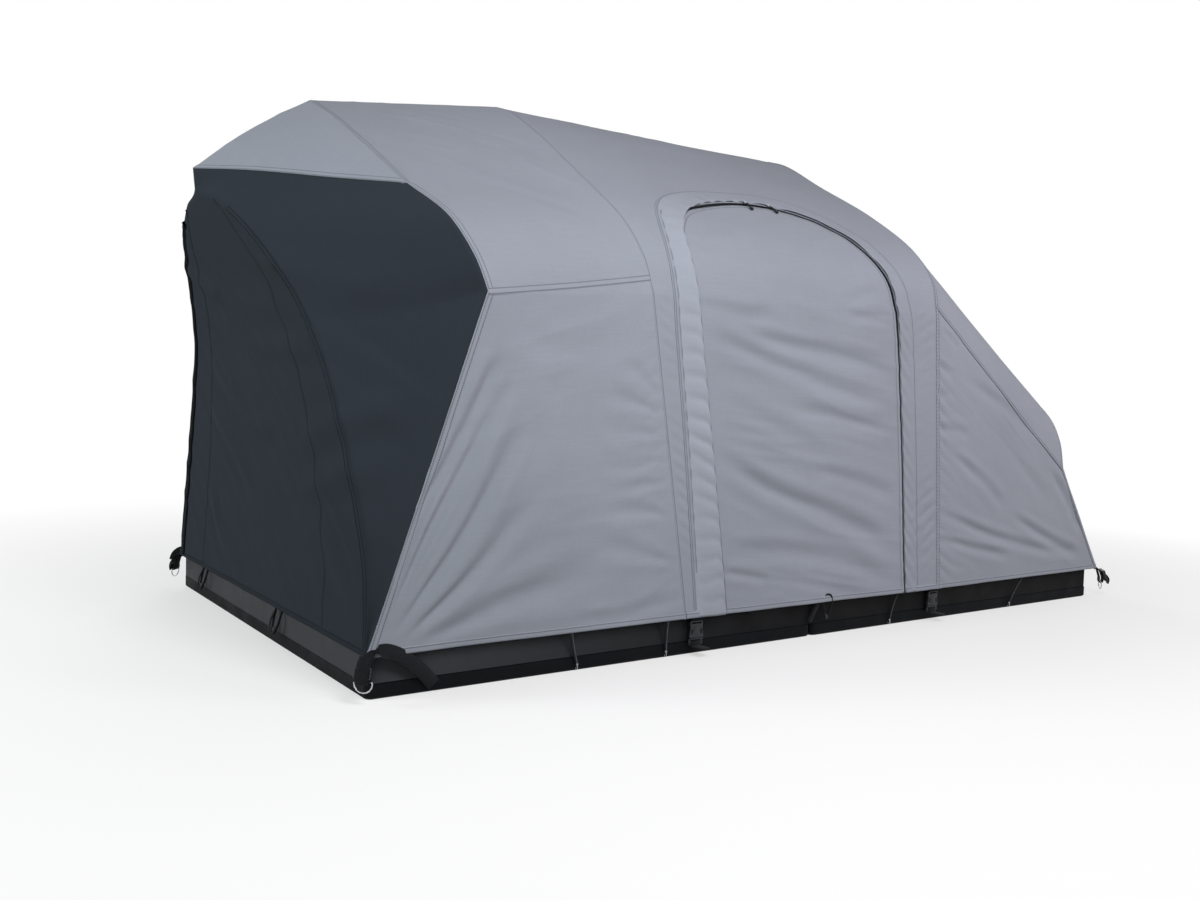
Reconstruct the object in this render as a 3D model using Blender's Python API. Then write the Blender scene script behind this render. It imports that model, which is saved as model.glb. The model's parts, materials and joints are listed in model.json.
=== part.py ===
"""Soft roof top tent on a folding base, standing open.

Frame: X runs from the tall open end (-X) to the low nose (+X), Y across, Z up.
The near side, with the photographed door, is -Y.  The origin is under the middle
of the whole tent, on the plane that the flat base rests on.  Metres throughout.
"""
import math

import bmesh
import bpy
import numpy as np
from mathutils import Vector
from mathutils.bvhtree import BVHTree

# Driving dimensions
FOOT_LENGTH = 2.083        # rear feet to nose feet of the frame
FOOT_HALF = 0.592          # centre plane to the fly's hem
HEM_Z = 0.076              # height of the fly's lower edge
CENTRE_X = 0.9882          # from the rear feet to the origin
FLY_T = 0.003              # cloth with its lining and seam tapes
GAP = 0.0003               # touching pieces
SEAM_GAP = 0.0004          # between two panels of the fly
BODY_MIDDLE_Z = 0.35       # height of the tent's inside, to tell outward from inward
PANEL_DRAW = 0.010         # the end panel draws in between its hoops
PANEL_FOLD = 0.0035        # soft folds of the end panel
PANEL_TOP_BACK = 0.016     # the end panel's middle under the roof, behind its hoop
PANEL_TOP_UP = 0.040
BROW_CROWN = 0.010         # the roof's overhang is crowned
NOSE_DRAW = 0.006          # the nose panel draws in between its legs

POLE_R = 0.0065            # 13 mm aluminium pole
POLE_CLEAR = 0.0012        # pole to cloth
HUB_R = 0.015
HUB_H = 0.013
HUB_SHIFT = {"rear": 0.003, "mid": 0.0, "front": -0.004}
INNER_STAND_OFF = 0.026    # the inner hoop's foot stands beside the rear hoop's

BOARD_T = 0.027            # hard floor board
BASE_X0 = 0.008            # rear face of the base, from the rear feet
BASE_X1 = 2.066
BASE_HALF = 0.575
WALL_T = 0.004
WALL_TOP = 0.0822
RAIL_IN = 0.541
RAIL_OUT = 0.5865
RAIL_TOP = 0.0857
MATTRESS_TOP = 0.080
MATTRESS_CROWN = 0.014

ZIP_GAP = 0.005            # door flap to door frame
ZIP_R = 0.0011

STRAP_T = 0.0016
WEBBING_HALF = 0.0125      # 25 mm webbing
TIE_HALF = 0.0035          # 7 mm cord tape
TAB_HALF = 0.0045
BUCKLE_HALF = 0.0180
SOCKET_MOUTH = 0.0340      # heights of the buckle's two halves
SOCKET_TOP = 0.0685
TONGUE_HALF = 0.0134
SLOT_HALF = 0.0140
BUCKLE_IN = 0.5785
BUCKLE_OUT = 0.5875
RING_WIRE = 0.0012
RING_HALF = 0.0148         # inside of the D-ring, half its width
RING_DROP = 0.0155
LOOP_REACH = 0.0115        # rear hem loops stand off the cloth by this
LOOP_HALF = 0.013
LOOP_DROP = 0.040

# Frame hoops, near half: (from rear feet, from centre plane, height)
REAR_LEG = [(0.000, 0.592, HEM_Z), (0.213, 0.590, 0.690)]
REAR_SHOULDER = [(0.213, 0.590, 0.690), (0.204, 0.583, 0.722), (0.196, 0.568, 0.754),
                 (0.175, 0.514, 0.822), (0.154, 0.382, 0.893)]
REAR_CROWN = [(0.154, 0.382, 0.893), (0.134, 0.220, 0.990), (0.118, 0.090, 1.062),
              (0.108, 0.000, 1.104)]
MID_LEG = [(0.674, 0.592, HEM_Z), (0.602, 0.546, 0.715)]
MID_ARCH = [(0.602, 0.546, 0.715), (0.592, 0.526, 0.785), (0.581, 0.468, 0.862),
            (0.566, 0.320, 0.972), (0.554, 0.170, 1.075), (0.546, 0.060, 1.138),
            (0.543, 0.000, 1.158)]
FRONT_LEG = [(1.418, 0.600, HEM_Z), (1.389, 0.586, 0.715)]
FRONT_ARCH = [(1.389, 0.586, 0.715), (1.388, 0.571, 0.788), (1.388, 0.518, 0.859),
              (1.388, 0.380, 0.955), (1.386, 0.200, 1.051), (1.384, 0.070, 1.122),
              (1.382, 0.000, 1.143)]
NOSE_LEG = [(2.083, 0.592, HEM_Z), (1.906, 0.592, 0.345)]
NOSE_ARCH = [(1.906, 0.592, 0.345), (1.904, 0.5785, 0.420), (1.901, 0.543, 0.484),
             (1.888, 0.428, 0.568), (1.876, 0.280, 0.623), (1.868, 0.120, 0.659),
             (1.863, 0.000, 0.671)]
INNER_HOOP = [(0.001, 0.582, HEM_Z), (0.005, 0.568, 0.200), (0.003, 0.534, 0.300),
              (-0.002, 0.490, 0.400), (-0.009, 0.441, 0.500), (-0.021, 0.383, 0.600),
              (-0.048, 0.316, 0.700), (-0.088, 0.215, 0.800), (-0.106, 0.145, 0.845)]
INNER_CROWN = [(-0.106, 0.145, 0.845), (-0.117, 0.080, 0.873), (-0.122, 0.000, 0.885)]
EAVE = [(0.154, 0.382, 0.893), (0.070, 0.275, 0.905), (-0.050, 0.120, 0.925),
        (-0.127, 0.000, 0.935)]

# Door opening, side view: (from rear feet, height); it runs out below the hem
DOOR_OUTLINE = [(0.7734, 0.015), (0.7670, 0.076), (0.7342, 0.391), (0.7004, 0.715),
                (0.6960, 0.800), (0.7100, 0.856), (0.7560, 0.900), (0.8500, 0.930),
                (0.9810, 0.949), (1.0800, 0.944), (1.1560, 0.920), (1.2080, 0.872),
                (1.2440, 0.800), (1.2640, 0.715), (1.2860, 0.480), (1.3080, 0.120),
                (1.3110, 0.076), (1.3150, 0.015)]
SLIDER_X = (0.985, 1.050)  # zip sliders at the top of each door

LEG_N = 8                  # points along a leg
ARCH_N = 13                # points along an arch, shoulder to crown

BUCKLE_X = (0.705, 1.423)
TIE_X = ((0.404, 0.425), (0.629, 0.635), (1.295, 1.284), (1.759, 1.727))
DOOR_TAB_X = 1.045
REAR_LOOP_Y = (-0.155, 0.360)


# Scene start
for old in list(bpy.data.objects):
    bpy.data.objects.remove(old, do_unlink=True)


def material(name, colour, roughness, metallic=0.0):
    """A Principled material with one even colour."""
    mat = bpy.data.materials.new(name)
    mat.use_nodes = True
    shader = mat.node_tree.nodes["Principled BSDF"]
    shader.inputs["Base Color"].default_value = (*colour, 1.0)
    shader.inputs["Roughness"].default_value = roughness
    shader.inputs["Metallic"].default_value = metallic
    mat.diffuse_color = (*colour, 1.0)
    return mat


FLY_GREY = material("fly_grey", (0.315, 0.335, 0.385), 0.78)
FLY_DARK = material("fly_dark", (0.034, 0.040, 0.050), 0.80)
BOARD_BLACK = material("board_black", (0.006, 0.007, 0.009), 0.60)
WALL_GREY = material("wall_grey", (0.090, 0.092, 0.100), 0.62)
FOAM_GREY = material("foam_grey", (0.180, 0.185, 0.200), 0.90)
POLE_METAL = material("pole_metal", (0.560, 0.570, 0.590), 0.30, 1.0)
HUB_PLASTIC = material("hub_plastic", (0.015, 0.015, 0.017), 0.45)
WEBBING = material("webbing", (0.008, 0.009, 0.011), 0.85)
BUCKLE_PLASTIC = material("buckle_plastic", (0.012, 0.013, 0.015), 0.38)
ZIP_BLACK = material("zip_black", (0.010, 0.011, 0.013), 0.55)
RING_STEEL = material("ring_steel", (0.620, 0.620, 0.630), 0.22, 1.0)


# Helpers
def smooth_curve(points, count):
    """Points at even steps along a smooth curve through the given points."""
    pts = np.array(points, float)
    steps = np.linalg.norm(np.diff(pts, axis=0), axis=1) ** 0.5
    knots = np.concatenate([[0.0], np.cumsum(steps)])
    slopes = np.zeros_like(pts)
    slopes[0] = (pts[1] - pts[0]) / (knots[1] - knots[0])
    slopes[-1] = (pts[-1] - pts[-2]) / (knots[-1] - knots[-2])
    for i in range(1, len(pts) - 1):
        before, after = knots[i] - knots[i - 1], knots[i + 1] - knots[i]
        low = (pts[i] - pts[i - 1]) / before
        high = (pts[i + 1] - pts[i]) / after
        slopes[i] = (low * after + high * before) / (before + after)
    fine = []
    for i in range(len(pts) - 1):
        width = knots[i + 1] - knots[i]
        for s in np.linspace(0.0, 1.0, 24, endpoint=False):
            fine.append((2 * s**3 - 3 * s**2 + 1) * pts[i]
                        + (s**3 - 2 * s**2 + s) * width * slopes[i]
                        + (-2 * s**3 + 3 * s**2) * pts[i + 1]
                        + (s**3 - s**2) * width * slopes[i + 1])
    fine.append(pts[-1])
    return even_steps(np.array(fine), count)


def even_steps(line, count):
    """The same line with its points at even distances."""
    lengths = np.concatenate([[0.0], np.cumsum(np.linalg.norm(np.diff(line, axis=0), axis=1))])
    where = np.linspace(0.0, lengths[-1], count)
    return np.stack([np.interp(where, lengths, line[:, k]) for k in range(line.shape[1])], 1)


def place(points):
    """From (rear feet, centre plane, height) of the near half to the tent's frame."""
    pts = np.array(points, float)
    return np.stack([pts[..., 0] - CENTRE_X, -pts[..., 1], pts[..., 2]], -1)


def mirrored(points):
    """The same points on the far side."""
    out = np.array(points, float)
    out[..., 1] = -out[..., 1]
    return out


def whole_hoop(near):
    """Near foot, crown, far foot."""
    return np.concatenate([near, mirrored(near[::-1][1:])])


def add_object(name, bm, mat, smooth=False):
    """Write a bmesh to a new named object."""
    bmesh.ops.remove_doubles(bm, verts=bm.verts, dist=1e-6)
    bmesh.ops.recalc_face_normals(bm, faces=bm.faces)
    mesh = bpy.data.meshes.new(name)
    bm.to_mesh(mesh)
    bm.free()
    mesh.materials.append(mat)
    if smooth:
        mesh.shade_smooth()
        mesh.set_sharp_from_angle(angle=math.radians(40))
    obj = bpy.data.objects.new(name, mesh)
    bpy.context.scene.collection.objects.link(obj)
    return obj


def skin(name, rings, mat, closed=False, smooth=False, caps=True):
    """A solid through a row of rings; the last ring meets the first if closed."""
    bm = bmesh.new()
    loops = [[bm.verts.new(Vector(p)) for p in ring] for ring in rings]
    pairs = list(zip(loops[:-1], loops[1:]))
    if closed:
        pairs.append((loops[-1], loops[0]))
    for low, high in pairs:
        for i in range(len(low)):
            j = (i + 1) % len(low)
            bm.faces.new((low[i], low[j], high[j], high[i]))
    if caps and not closed:
        bm.faces.new(loops[0][::-1])
        bm.faces.new(loops[-1])
    return add_object(name, bm, mat, smooth)


def tube(name, points, radius, mat, cyclic=False, resolution=2):
    """A round bar along the points."""
    curve = bpy.data.curves.new(name, "CURVE")
    curve.dimensions = "3D"
    curve.bevel_depth = radius
    curve.bevel_resolution = resolution
    curve.use_fill_caps = not cyclic
    spline = curve.splines.new("POLY")
    spline.points.add(len(points) - 1)
    for target, p in zip(spline.points, points):
        target.co = (p[0], p[1], p[2], 1.0)
    spline.use_cyclic_u = cyclic
    spline.use_smooth = True
    curve.materials.append(mat)
    obj = bpy.data.objects.new(name, curve)
    bpy.context.scene.collection.objects.link(obj)
    return obj


def box(name, low, high, mat, bevel=0.0, segments=2):
    """A box between two corners, its edges rounded."""
    bm = bmesh.new()
    bmesh.ops.create_cube(bm, size=1.0)
    size = [h - l for l, h in zip(low, high)]
    mid = [(l + h) / 2 for l, h in zip(low, high)]
    for v in bm.verts:
        v.co = Vector([v.co[k] * size[k] + mid[k] for k in range(3)])
    obj = add_object(name, bm, mat)
    if bevel:
        mod = obj.modifiers.new("rounded edges", "BEVEL")
        mod.width = bevel
        mod.segments = segments
    return obj


def strip_rings(path, half_width, thickness, side):
    """Four-cornered rings along a flat strap; side is the direction of its width."""
    pts = [Vector(p) for p in path]
    side = Vector(side).normalized()
    rings = []
    for i, p in enumerate(pts):
        ahead = pts[min(i + 1, len(pts) - 1)] - pts[max(i - 1, 0)]
        normal = ahead.normalized().cross(side).normalized()
        h, t = side * half_width, normal * (thickness / 2)
        rings.append([p - h - t, p + h - t, p + h + t, p - h + t])
    return rings


def set_origin(obj, point):
    """Move a mesh object's origin without moving its shape."""
    shift = Vector(point)
    for v in obj.data.vertices:
        v.co -= shift
    obj.location = shift


# Hoop lines
def near_hoop(leg, *arches):
    """Leg and arch of a hoop, near foot to crown, as even points."""
    parts = [smooth_curve(leg, LEG_N)]
    for arch, count in arches:
        parts.append(smooth_curve(arch, count)[1:])
    return place(np.concatenate(parts))


HOOP_REAR = whole_hoop(near_hoop(REAR_LEG, (REAR_SHOULDER, 6), (REAR_CROWN, 8)))
HOOP_MID = whole_hoop(near_hoop(MID_LEG, (MID_ARCH, ARCH_N)))
HOOP_FRONT = whole_hoop(near_hoop(FRONT_LEG, (FRONT_ARCH, ARCH_N)))
HOOP_NOSE = whole_hoop(near_hoop(NOSE_LEG, (NOSE_ARCH, ARCH_N)))
HALF_N = LEG_N + ARCH_N - 1        # points on half a hoop
EAVE_INDEX = LEG_N + 4             # where the brow leaves the rear hoop


# Fly surfaces
def bay(hoop_a, hoop_b, rows, sag, fold):
    """Cloth between two hoops: rows of points, drawn in and softly folded."""
    grid = []
    count = len(hoop_a)
    for s in np.linspace(0.0, 1.0, rows):
        line = hoop_a * (1 - s) + hoop_b * s
        away = line.copy()
        away[:, 0] = 0.0
        away[:, 2] -= BODY_MIDDLE_Z
        away /= np.linalg.norm(away, axis=1)[:, None]
        u = np.abs(np.linspace(-1.0, 1.0, count))      # 1 at the feet, 0 at the crown
        hold = np.sin(math.pi * s)
        depth = sag * hold * (0.45 + 0.55 * np.sin(math.pi * u) ** 2)
        ripple = fold * hold * np.sin(9.0 * u + 5.0 * s) * np.clip(1.3 * u - 0.25, 0, 1)
        grid.append(line - away * (depth + ripple)[:, None])
    return np.array(grid)


REAR_BAY = bay(HOOP_REAR, HOOP_MID, 8, 0.004, 0.0030)
DOOR_BAY = bay(HOOP_MID, HOOP_FRONT, 9, 0.005, 0.0026)
FRONT_BAY = bay(HOOP_FRONT, HOOP_NOSE, 6, 0.002, 0.0020)


def rear_panel_grid():
    """Dark end panel: rear hoop legs, inner hoop and the middle, hem to eave."""
    inner = place(smooth_curve(INNER_HOOP, EAVE_INDEX))
    crown = place(smooth_curve(INNER_CROWN, 5))
    bulge = crown - (crown[:1] + (crown[-1:] - crown[:1]) * np.linspace(0, 1, 5)[:, None])
    eave = even_steps(place(smooth_curve(EAVE, 40)), 8)
    grid = []
    for k in range(EAVE_INDEX + 1):
        edge = HOOP_REAR[k]
        if k == EAVE_INDEX:
            near = eave
        else:
            hoop = inner[k]
            top = (k / (EAVE_INDEX - 1)) ** 3
            middle = np.array([hoop[0] - PANEL_TOP_BACK * top, 0.0, hoop[2] + PANEL_TOP_UP * top])
            draw = PANEL_DRAW * math.sin(math.pi * k / (EAVE_INDEX - 1))
            first = []
            for s in (0.0, 1 / 3, 2 / 3):
                p = edge * (1 - s) + hoop * s
                p[0] += draw * math.sin(math.pi * s)
                first.append(p)
            second = []
            for i, s in enumerate(np.linspace(0.0, 1.0, 5)):
                p = hoop * (1 - s) + middle * s + bulge[i] * top
                p[0] += 0.8 * draw * math.sin(math.pi * min(s, 1.0) / 2)
                p[0] += PANEL_FOLD * math.sin(7.0 * s + 0.9 * k) * s * (1 - top)
                second.append(p)
            near = np.array(first + second)
        grid.append(whole_hoop(near))
    return np.array(grid)


def brow_grid():
    """The roof's overhang between the rear hoop and the eave."""
    top = HOOP_REAR[EAVE_INDEX:2 * HALF_N - 1 - EAVE_INDEX]
    low = whole_hoop(even_steps(place(smooth_curve(EAVE, 40)), (len(top) + 1) // 2))
    rows = []
    for s in np.linspace(0.0, 1.0, 5):
        line = top * (1 - s) + low * s
        width = np.linalg.norm(top - low, axis=1)
        line[:, 2] += BROW_CROWN * math.sin(math.pi * s) * np.minimum(1.0, width / 0.15)
        rows.append(line)
    return np.array(rows)


def nose_grid():
    """Front panel: from side to side between the nose hoop's legs."""
    rows = []
    for k in range(HALF_N):
        a, b = HOOP_NOSE[k], HOOP_NOSE[2 * HALF_N - 2 - k]
        span = np.linspace(0.0, 1.0, 9)
        line = a[None] * (1 - span)[:, None] + b[None] * span[:, None]
        line[:, 0] -= NOSE_DRAW * np.sin(math.pi * span) * math.sin(math.pi * k / (HALF_N - 1))
        rows.append(line)
    return np.array(rows)


REAR_PANEL = rear_panel_grid()
BROW = brow_grid()
NOSE = nose_grid()

GRIDS = {"rear_bay": REAR_BAY, "door_bay": DOOR_BAY, "front_bay": FRONT_BAY,
         "rear_panel": REAR_PANEL, "brow": BROW, "nose": NOSE}


def face_normals(grid):
    """Outward unit normals of a grid's cells, and each cell's corners."""
    middle = np.array([0.0, 0.0, BODY_MIDDLE_Z])
    cells = []
    for i in range(grid.shape[0] - 1):
        for j in range(grid.shape[1] - 1):
            a, b, c, d = grid[i, j], grid[i, j + 1], grid[i + 1, j + 1], grid[i + 1, j]
            n = np.cross(c - a, d - b)
            size = np.linalg.norm(n)
            if size < 1e-9:
                continue
            n = n / size
            if np.dot(n, (a + b + c + d) / 4 - middle) < 0:
                n = -n
            cells.append((n, size, ((i, j), (i, j + 1), (i + 1, j + 1), (i + 1, j))))
    return cells


def vertex_key(p):
    """Points this close are one."""
    return tuple(np.round(p, 5))


SHARED = {}
for grid in GRIDS.values():
    for n, size, corners in face_normals(grid):
        for i, j in corners:
            SHARED.setdefault(vertex_key(grid[i, j]), []).append((n, size))


def inward(p, depth):
    """A step of that depth under every panel that meets at this point."""
    faces = SHARED[vertex_key(p)]
    normals = np.array([n for n, size in faces])
    step = -np.linalg.pinv(normals, rcond=0.2) @ np.full(len(faces), depth)
    size = np.linalg.norm(step)
    return step * min(1.0, 1.8 * depth / size)


def panel_points(grid, open_rows=True):
    """Outer and inner points of a panel, its seam edges drawn back by the gap."""
    outer = grid.copy()
    under = np.array([[inward(p, FLY_T) for p in row] for row in grid])
    shift = np.zeros_like(grid)
    if open_rows:
        for edge, inner in ((0, 1), (-1, -2)):
            step = grid[inner] - grid[edge]
            size = np.linalg.norm(step, axis=1)[:, None]
            shift[edge] += np.where(size > 1e-6, step / np.maximum(size, 1e-9), 0.0) * SEAM_GAP
    return outer + shift, outer + under + shift


def panel(name, outer, inner, mat):
    """A closed thin solid between an outer and an inner grid of points."""
    bm = bmesh.new()
    rows, cols = outer.shape[:2]
    top = [[bm.verts.new(Vector(outer[i, j])) for j in range(cols)] for i in range(rows)]
    low = [[bm.verts.new(Vector(inner[i, j])) for j in range(cols)] for i in range(rows)]
    for i in range(rows - 1):
        for j in range(cols - 1):
            bm.faces.new((top[i][j], top[i][j + 1], top[i + 1][j + 1], top[i + 1][j]))
            bm.faces.new((low[i + 1][j], low[i + 1][j + 1], low[i][j + 1], low[i][j]))
    for j in range(cols - 1):
        bm.faces.new((top[0][j + 1], top[0][j], low[0][j], low[0][j + 1]))
        bm.faces.new((top[-1][j], top[-1][j + 1], low[-1][j + 1], low[-1][j]))
    for i in range(rows - 1):
        bm.faces.new((top[i][0], top[i + 1][0], low[i + 1][0], low[i][0]))
        bm.faces.new((top[i + 1][-1], top[i][-1], low[i][-1], low[i + 1][-1]))
    bmesh.ops.dissolve_degenerate(bm, dist=1e-6, edges=bm.edges)
    return add_object(name, bm, mat, smooth=True)


panel("fly_rear_bay", *panel_points(REAR_BAY), FLY_GREY)
panel("fly_front_bay", *panel_points(FRONT_BAY), FLY_GREY)

# The end panel's side edges and eave are seams; its hem is free
outer, inner = panel_points(REAR_PANEL, open_rows=False)
for edge, nearby in ((0, 1), (-1, -2)):
    step = REAR_PANEL[:, nearby] - REAR_PANEL[:, edge]
    step /= np.linalg.norm(step, axis=1)[:, None]
    outer[:, edge] += step * SEAM_GAP
    inner[:, edge] += step * SEAM_GAP
step = REAR_PANEL[-2] - REAR_PANEL[-1]
step /= np.linalg.norm(step, axis=1)[:, None]
outer[-1] += step * SEAM_GAP
inner[-1] += step * SEAM_GAP
panel("fly_rear_panel", outer, inner, FLY_DARK)

# The brow comes to a point at both ends, which is drawn back along the eave
outer, inner = panel_points(BROW)
for edge, nearby in ((0, 1), (-1, -2)):
    step = BROW[2, nearby] - BROW[2, edge]
    step = step / np.linalg.norm(step) * 0.004
    outer[:, edge] = BROW[2, edge] + step
    inner[:, edge] = BROW[2, edge] + inward(BROW[2, edge], FLY_T) + step
panel("fly_brow", outer, inner, FLY_GREY)

# The nose panel's side edges are seams; it comes to a point under the crown
outer, inner = panel_points(NOSE, open_rows=False)
for edge, nearby in ((0, 1), (-1, -2)):
    step = NOSE[:-1, nearby] - NOSE[:-1, edge]
    step /= np.linalg.norm(step, axis=1)[:, None]
    outer[:-1, edge] += step * SEAM_GAP
    inner[:-1, edge] += step * SEAM_GAP
drop = NOSE[-2, 4] - NOSE[-1, 4]
drop = drop / np.linalg.norm(drop) * 2 * SEAM_GAP
outer[-1] += drop
inner[-1] += drop
panel("fly_nose", outer, inner, FLY_GREY)


# Doors
def door_line(inset):
    """The opening's outline in side view, drawn in by the inset."""
    ctrl = np.array(DOOR_OUTLINE)
    line = np.concatenate([ctrl[0:1], smooth_curve(np.column_stack([ctrl[1:-1], np.zeros(16)]),
                                                   34)[:, :2], ctrl[-1:]])
    ahead = np.roll(line, -1, axis=0) - np.roll(line, 1, axis=0)
    ahead[0], ahead[-1] = line[1] - line[0], line[-1] - line[-2]
    ahead /= np.linalg.norm(ahead, axis=1)[:, None]
    normal = np.column_stack([ahead[:, 1], -ahead[:, 0]])
    return line + normal * inset


def door_cutter(name, inset, sign):
    """A prism across one side of the tent."""
    line = door_line(inset)
    rings = []
    for w in (0.12, 0.75):
        rings.append([(x - CENTRE_X, sign * w, z) for x, z in line])
    obj = skin(name, rings, HUB_PLASTIC)
    obj.hide_render = True
    obj.display_type = "WIRE"
    return obj


def cut(obj, cutter, operation="DIFFERENCE"):
    mod = obj.modifiers.new("door", "BOOLEAN")
    mod.operation = operation
    mod.object = cutter


outer, inner = panel_points(DOOR_BAY)
door_bay = panel("fly_door_bay", outer, inner, FLY_GREY)
near_flap = panel("door_near", outer, inner, FLY_GREY)
far_flap = panel("door_far", outer, inner, FLY_GREY)
cut(door_bay, door_cutter("cut_opening_near", 0.0, -1))
cut(door_bay, door_cutter("cut_opening_far", 0.0, 1))
cut(near_flap, door_cutter("cut_flap_near", ZIP_GAP, -1), "INTERSECT")
cut(far_flap, door_cutter("cut_flap_far", ZIP_GAP, 1), "INTERSECT")

faces = []
rows, cols = DOOR_BAY.shape[:2]
for i in range(rows - 1):
    for j in range(cols - 1):
        faces.append((i * cols + j, i * cols + j + 1, (i + 1) * cols + j + 1, (i + 1) * cols + j))
DOOR_TREE = BVHTree.FromPolygons([Vector(p) for p in DOOR_BAY.reshape(-1, 3)], faces)


def on_door_bay(x, z):
    """Point and outward normal of the near cloth at this place in side view."""
    hit, normal = DOOR_TREE.ray_cast(Vector((x, -1.0, z)), Vector((0, 1, 0)))[:2]
    if normal.y > 0:
        normal = -normal
    return hit, normal


def hinge_points():
    """Two points on the flap's rear edge, just outside the cloth."""
    line = door_line(ZIP_GAP)
    ends = []
    for z in (0.095, 0.700):
        x = float(np.interp(z, line[:12, 1], line[:12, 0])) - CENTRE_X
        hit, normal = on_door_bay(x, z)
        ends.append(hit + normal * 0.0006)
    return ends


HINGE_LOW, HINGE_HIGH = hinge_points()
for obj, sign in ((near_flap, 1), (far_flap, -1)):
    set_origin(obj, (HINGE_LOW.x, HINGE_LOW.y * sign, HINGE_LOW.z))

ZIP_FROM = 13              # the zip starts at the rear top corner
for side, sign in (("near", 1), ("far", -1)):
    track = []
    for x, z in door_line(ZIP_GAP / 2)[ZIP_FROM:-1]:
        hit, normal = on_door_bay(x - CENTRE_X, z + 0.0015 * (z < 0.08))
        p = hit - normal * (FLY_T / 2)
        track.append((p.x, sign * p.y, p.z))
    tube("zip_track_" + side, track, ZIP_R, ZIP_BLACK)

for side, sign in (("near", 1), ("far", -1)):
    for index, x in enumerate(SLIDER_X):
        line = door_line(ZIP_GAP / 2)
        z = float(np.interp(x, line[12:26, 0], line[12:26, 1]))
        hit, normal = on_door_bay(x - CENTRE_X, z)
        along = Vector((1, 0, 0)) - normal * normal.x
        along.normalize()
        down = normal.cross(along)
        if down.z > 0:
            down = -down
        rings = []
        for d, half, low, high in ((-0.005, 0.0045, 0.0010, 0.0048), (0.005, 0.0045, 0.0010, 0.0048),
                                   (0.005, 0.0030, 0.0018, 0.0036), (0.036, 0.0042, 0.0018, 0.0036)):
            ring = []
            for a, n in ((-half, low), (half, low), (half, high), (-half, high)):
                p = hit + down * d + along * a + normal * n
                ring.append((p.x, sign * p.y, p.z))
            rings.append(ring)
        slider = skin("zip_slider_%s_%s" % (side, "ab"[index]), rings, ZIP_BLACK)
        set_origin(slider, (hit.x, sign * hit.y, hit.z))


# Frame poles
def pole_line(grid_line, more=0.0):
    """Centre line of a pole under a row of cloth points."""
    depth = FLY_T + POLE_CLEAR + POLE_R + more
    return np.array([p + inward(p, depth) for p in grid_line])


def stand_off(line, span):
    """1 at the pole's foot, falling to 0 at that height above it."""
    return np.clip(1.0 - (line[:, 2] - RAIL_TOP) / span, 0.0, 1.0)


def from_foot(line, foot_z=RAIL_TOP + 0.0042):
    """Start the line at the height of the pole's foot."""
    k = int(np.argmax(line[:, 2] > foot_z))
    s = (foot_z - line[k - 1, 2]) / (line[k, 2] - line[k - 1, 2])
    return np.concatenate([[line[k - 1] * (1 - s) + line[k] * s], line[k:]])


def to_hub(line, reach):
    """Stop the line where it meets the hub's rim."""
    k = int(np.argmax(np.abs(line[:, 1]) < reach))
    s = (abs(line[k - 1, 1]) - reach) / (abs(line[k - 1, 1]) - abs(line[k, 1]))
    return np.concatenate([line[:k], [line[k - 1] * (1 - s) + line[k] * s]])


for name, hoop in (("rear", HOOP_REAR), ("mid", HOOP_MID), ("front", HOOP_FRONT)):
    line = pole_line(hoop[:HALF_N])
    if name == "rear":
        line[:, 0] += 0.003 * stand_off(line, 0.12)
    crown = line[-1] + np.array([HUB_SHIFT[name], 0.0, 0.0])
    near = to_hub(from_foot(line), HUB_R + 0.0048)
    tube("pole_%s_near" % name, near, POLE_R, POLE_METAL)
    tube("pole_%s_far" % name, mirrored(near), POLE_R, POLE_METAL)
    end = near[-1] - np.array([0.0, 0.0, 0.004])
    rings = []
    for r, dz in ((HUB_R - 0.002, -HUB_H / 2), (HUB_R, -HUB_H / 2 + 0.002),
                  (HUB_R, HUB_H / 2 - 0.002), (HUB_R - 0.002, HUB_H / 2)):
        ring = []
        for k in range(20):
            a = 2 * math.pi * k / 20
            ring.append((crown[0] + r * math.cos(a), r * math.sin(a), end[2] + dz + 0.0005))
        rings.append(ring)
    skin("hub_" + name, rings, HUB_PLASTIC, smooth=True)

nose_line = pole_line(HOOP_NOSE[:HALF_N])
nose_line = from_foot(nose_line)
tube("pole_nose", whole_hoop(nose_line), POLE_R, POLE_METAL)

inner_line = pole_line(np.concatenate([REAR_PANEL[:EAVE_INDEX, 3],
                                       REAR_PANEL[EAVE_INDEX - 1, 4:8]]), 0.0012)
inner_line[:, 1] += INNER_STAND_OFF * stand_off(inner_line, 0.24) ** 1.5
inner_line = from_foot(inner_line)
tube("pole_inner", whole_hoop(inner_line), POLE_R, POLE_METAL)


# Base
def rounded_rect(x0, x1, half, radius, z, steps=5):
    """A rectangle with round corners, in order round its outline."""
    ring = []
    for cx, cy, start in ((x1 - radius, half - radius, 0), (x0 + radius, half - radius, 90),
                          (x0 + radius, -half + radius, 180), (x1 - radius, -half + radius, 270)):
        for k in range(steps + 1):
            a = math.radians(start + 90 * k / steps)
            ring.append((cx + radius * math.cos(a) - CENTRE_X, cy + radius * math.sin(a), z))
    return ring


def board(name, x0, x1):
    """Half of the folding floor, its lower edge drawn in."""
    rings = [rounded_rect(x0 + 0.003, x1 - 0.003, BASE_HALF - 0.003, 0.010, 0.0, 3),
             rounded_rect(x0, x1, BASE_HALF, 0.012, 0.003, 3),
             rounded_rect(x0, x1, BASE_HALF, 0.012, BOARD_T - 0.002, 3),
             rounded_rect(x0 + 0.002, x1 - 0.002, BASE_HALF - 0.002, 0.010, BOARD_T, 3)]
    return skin(name, rings, BOARD_BLACK)


FOLD_X = (BASE_X0 + BASE_X1) / 2
board("base_board_rear", BASE_X0, FOLD_X - 0.001)
board("base_board_front", FOLD_X + 0.001, BASE_X1)

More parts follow.
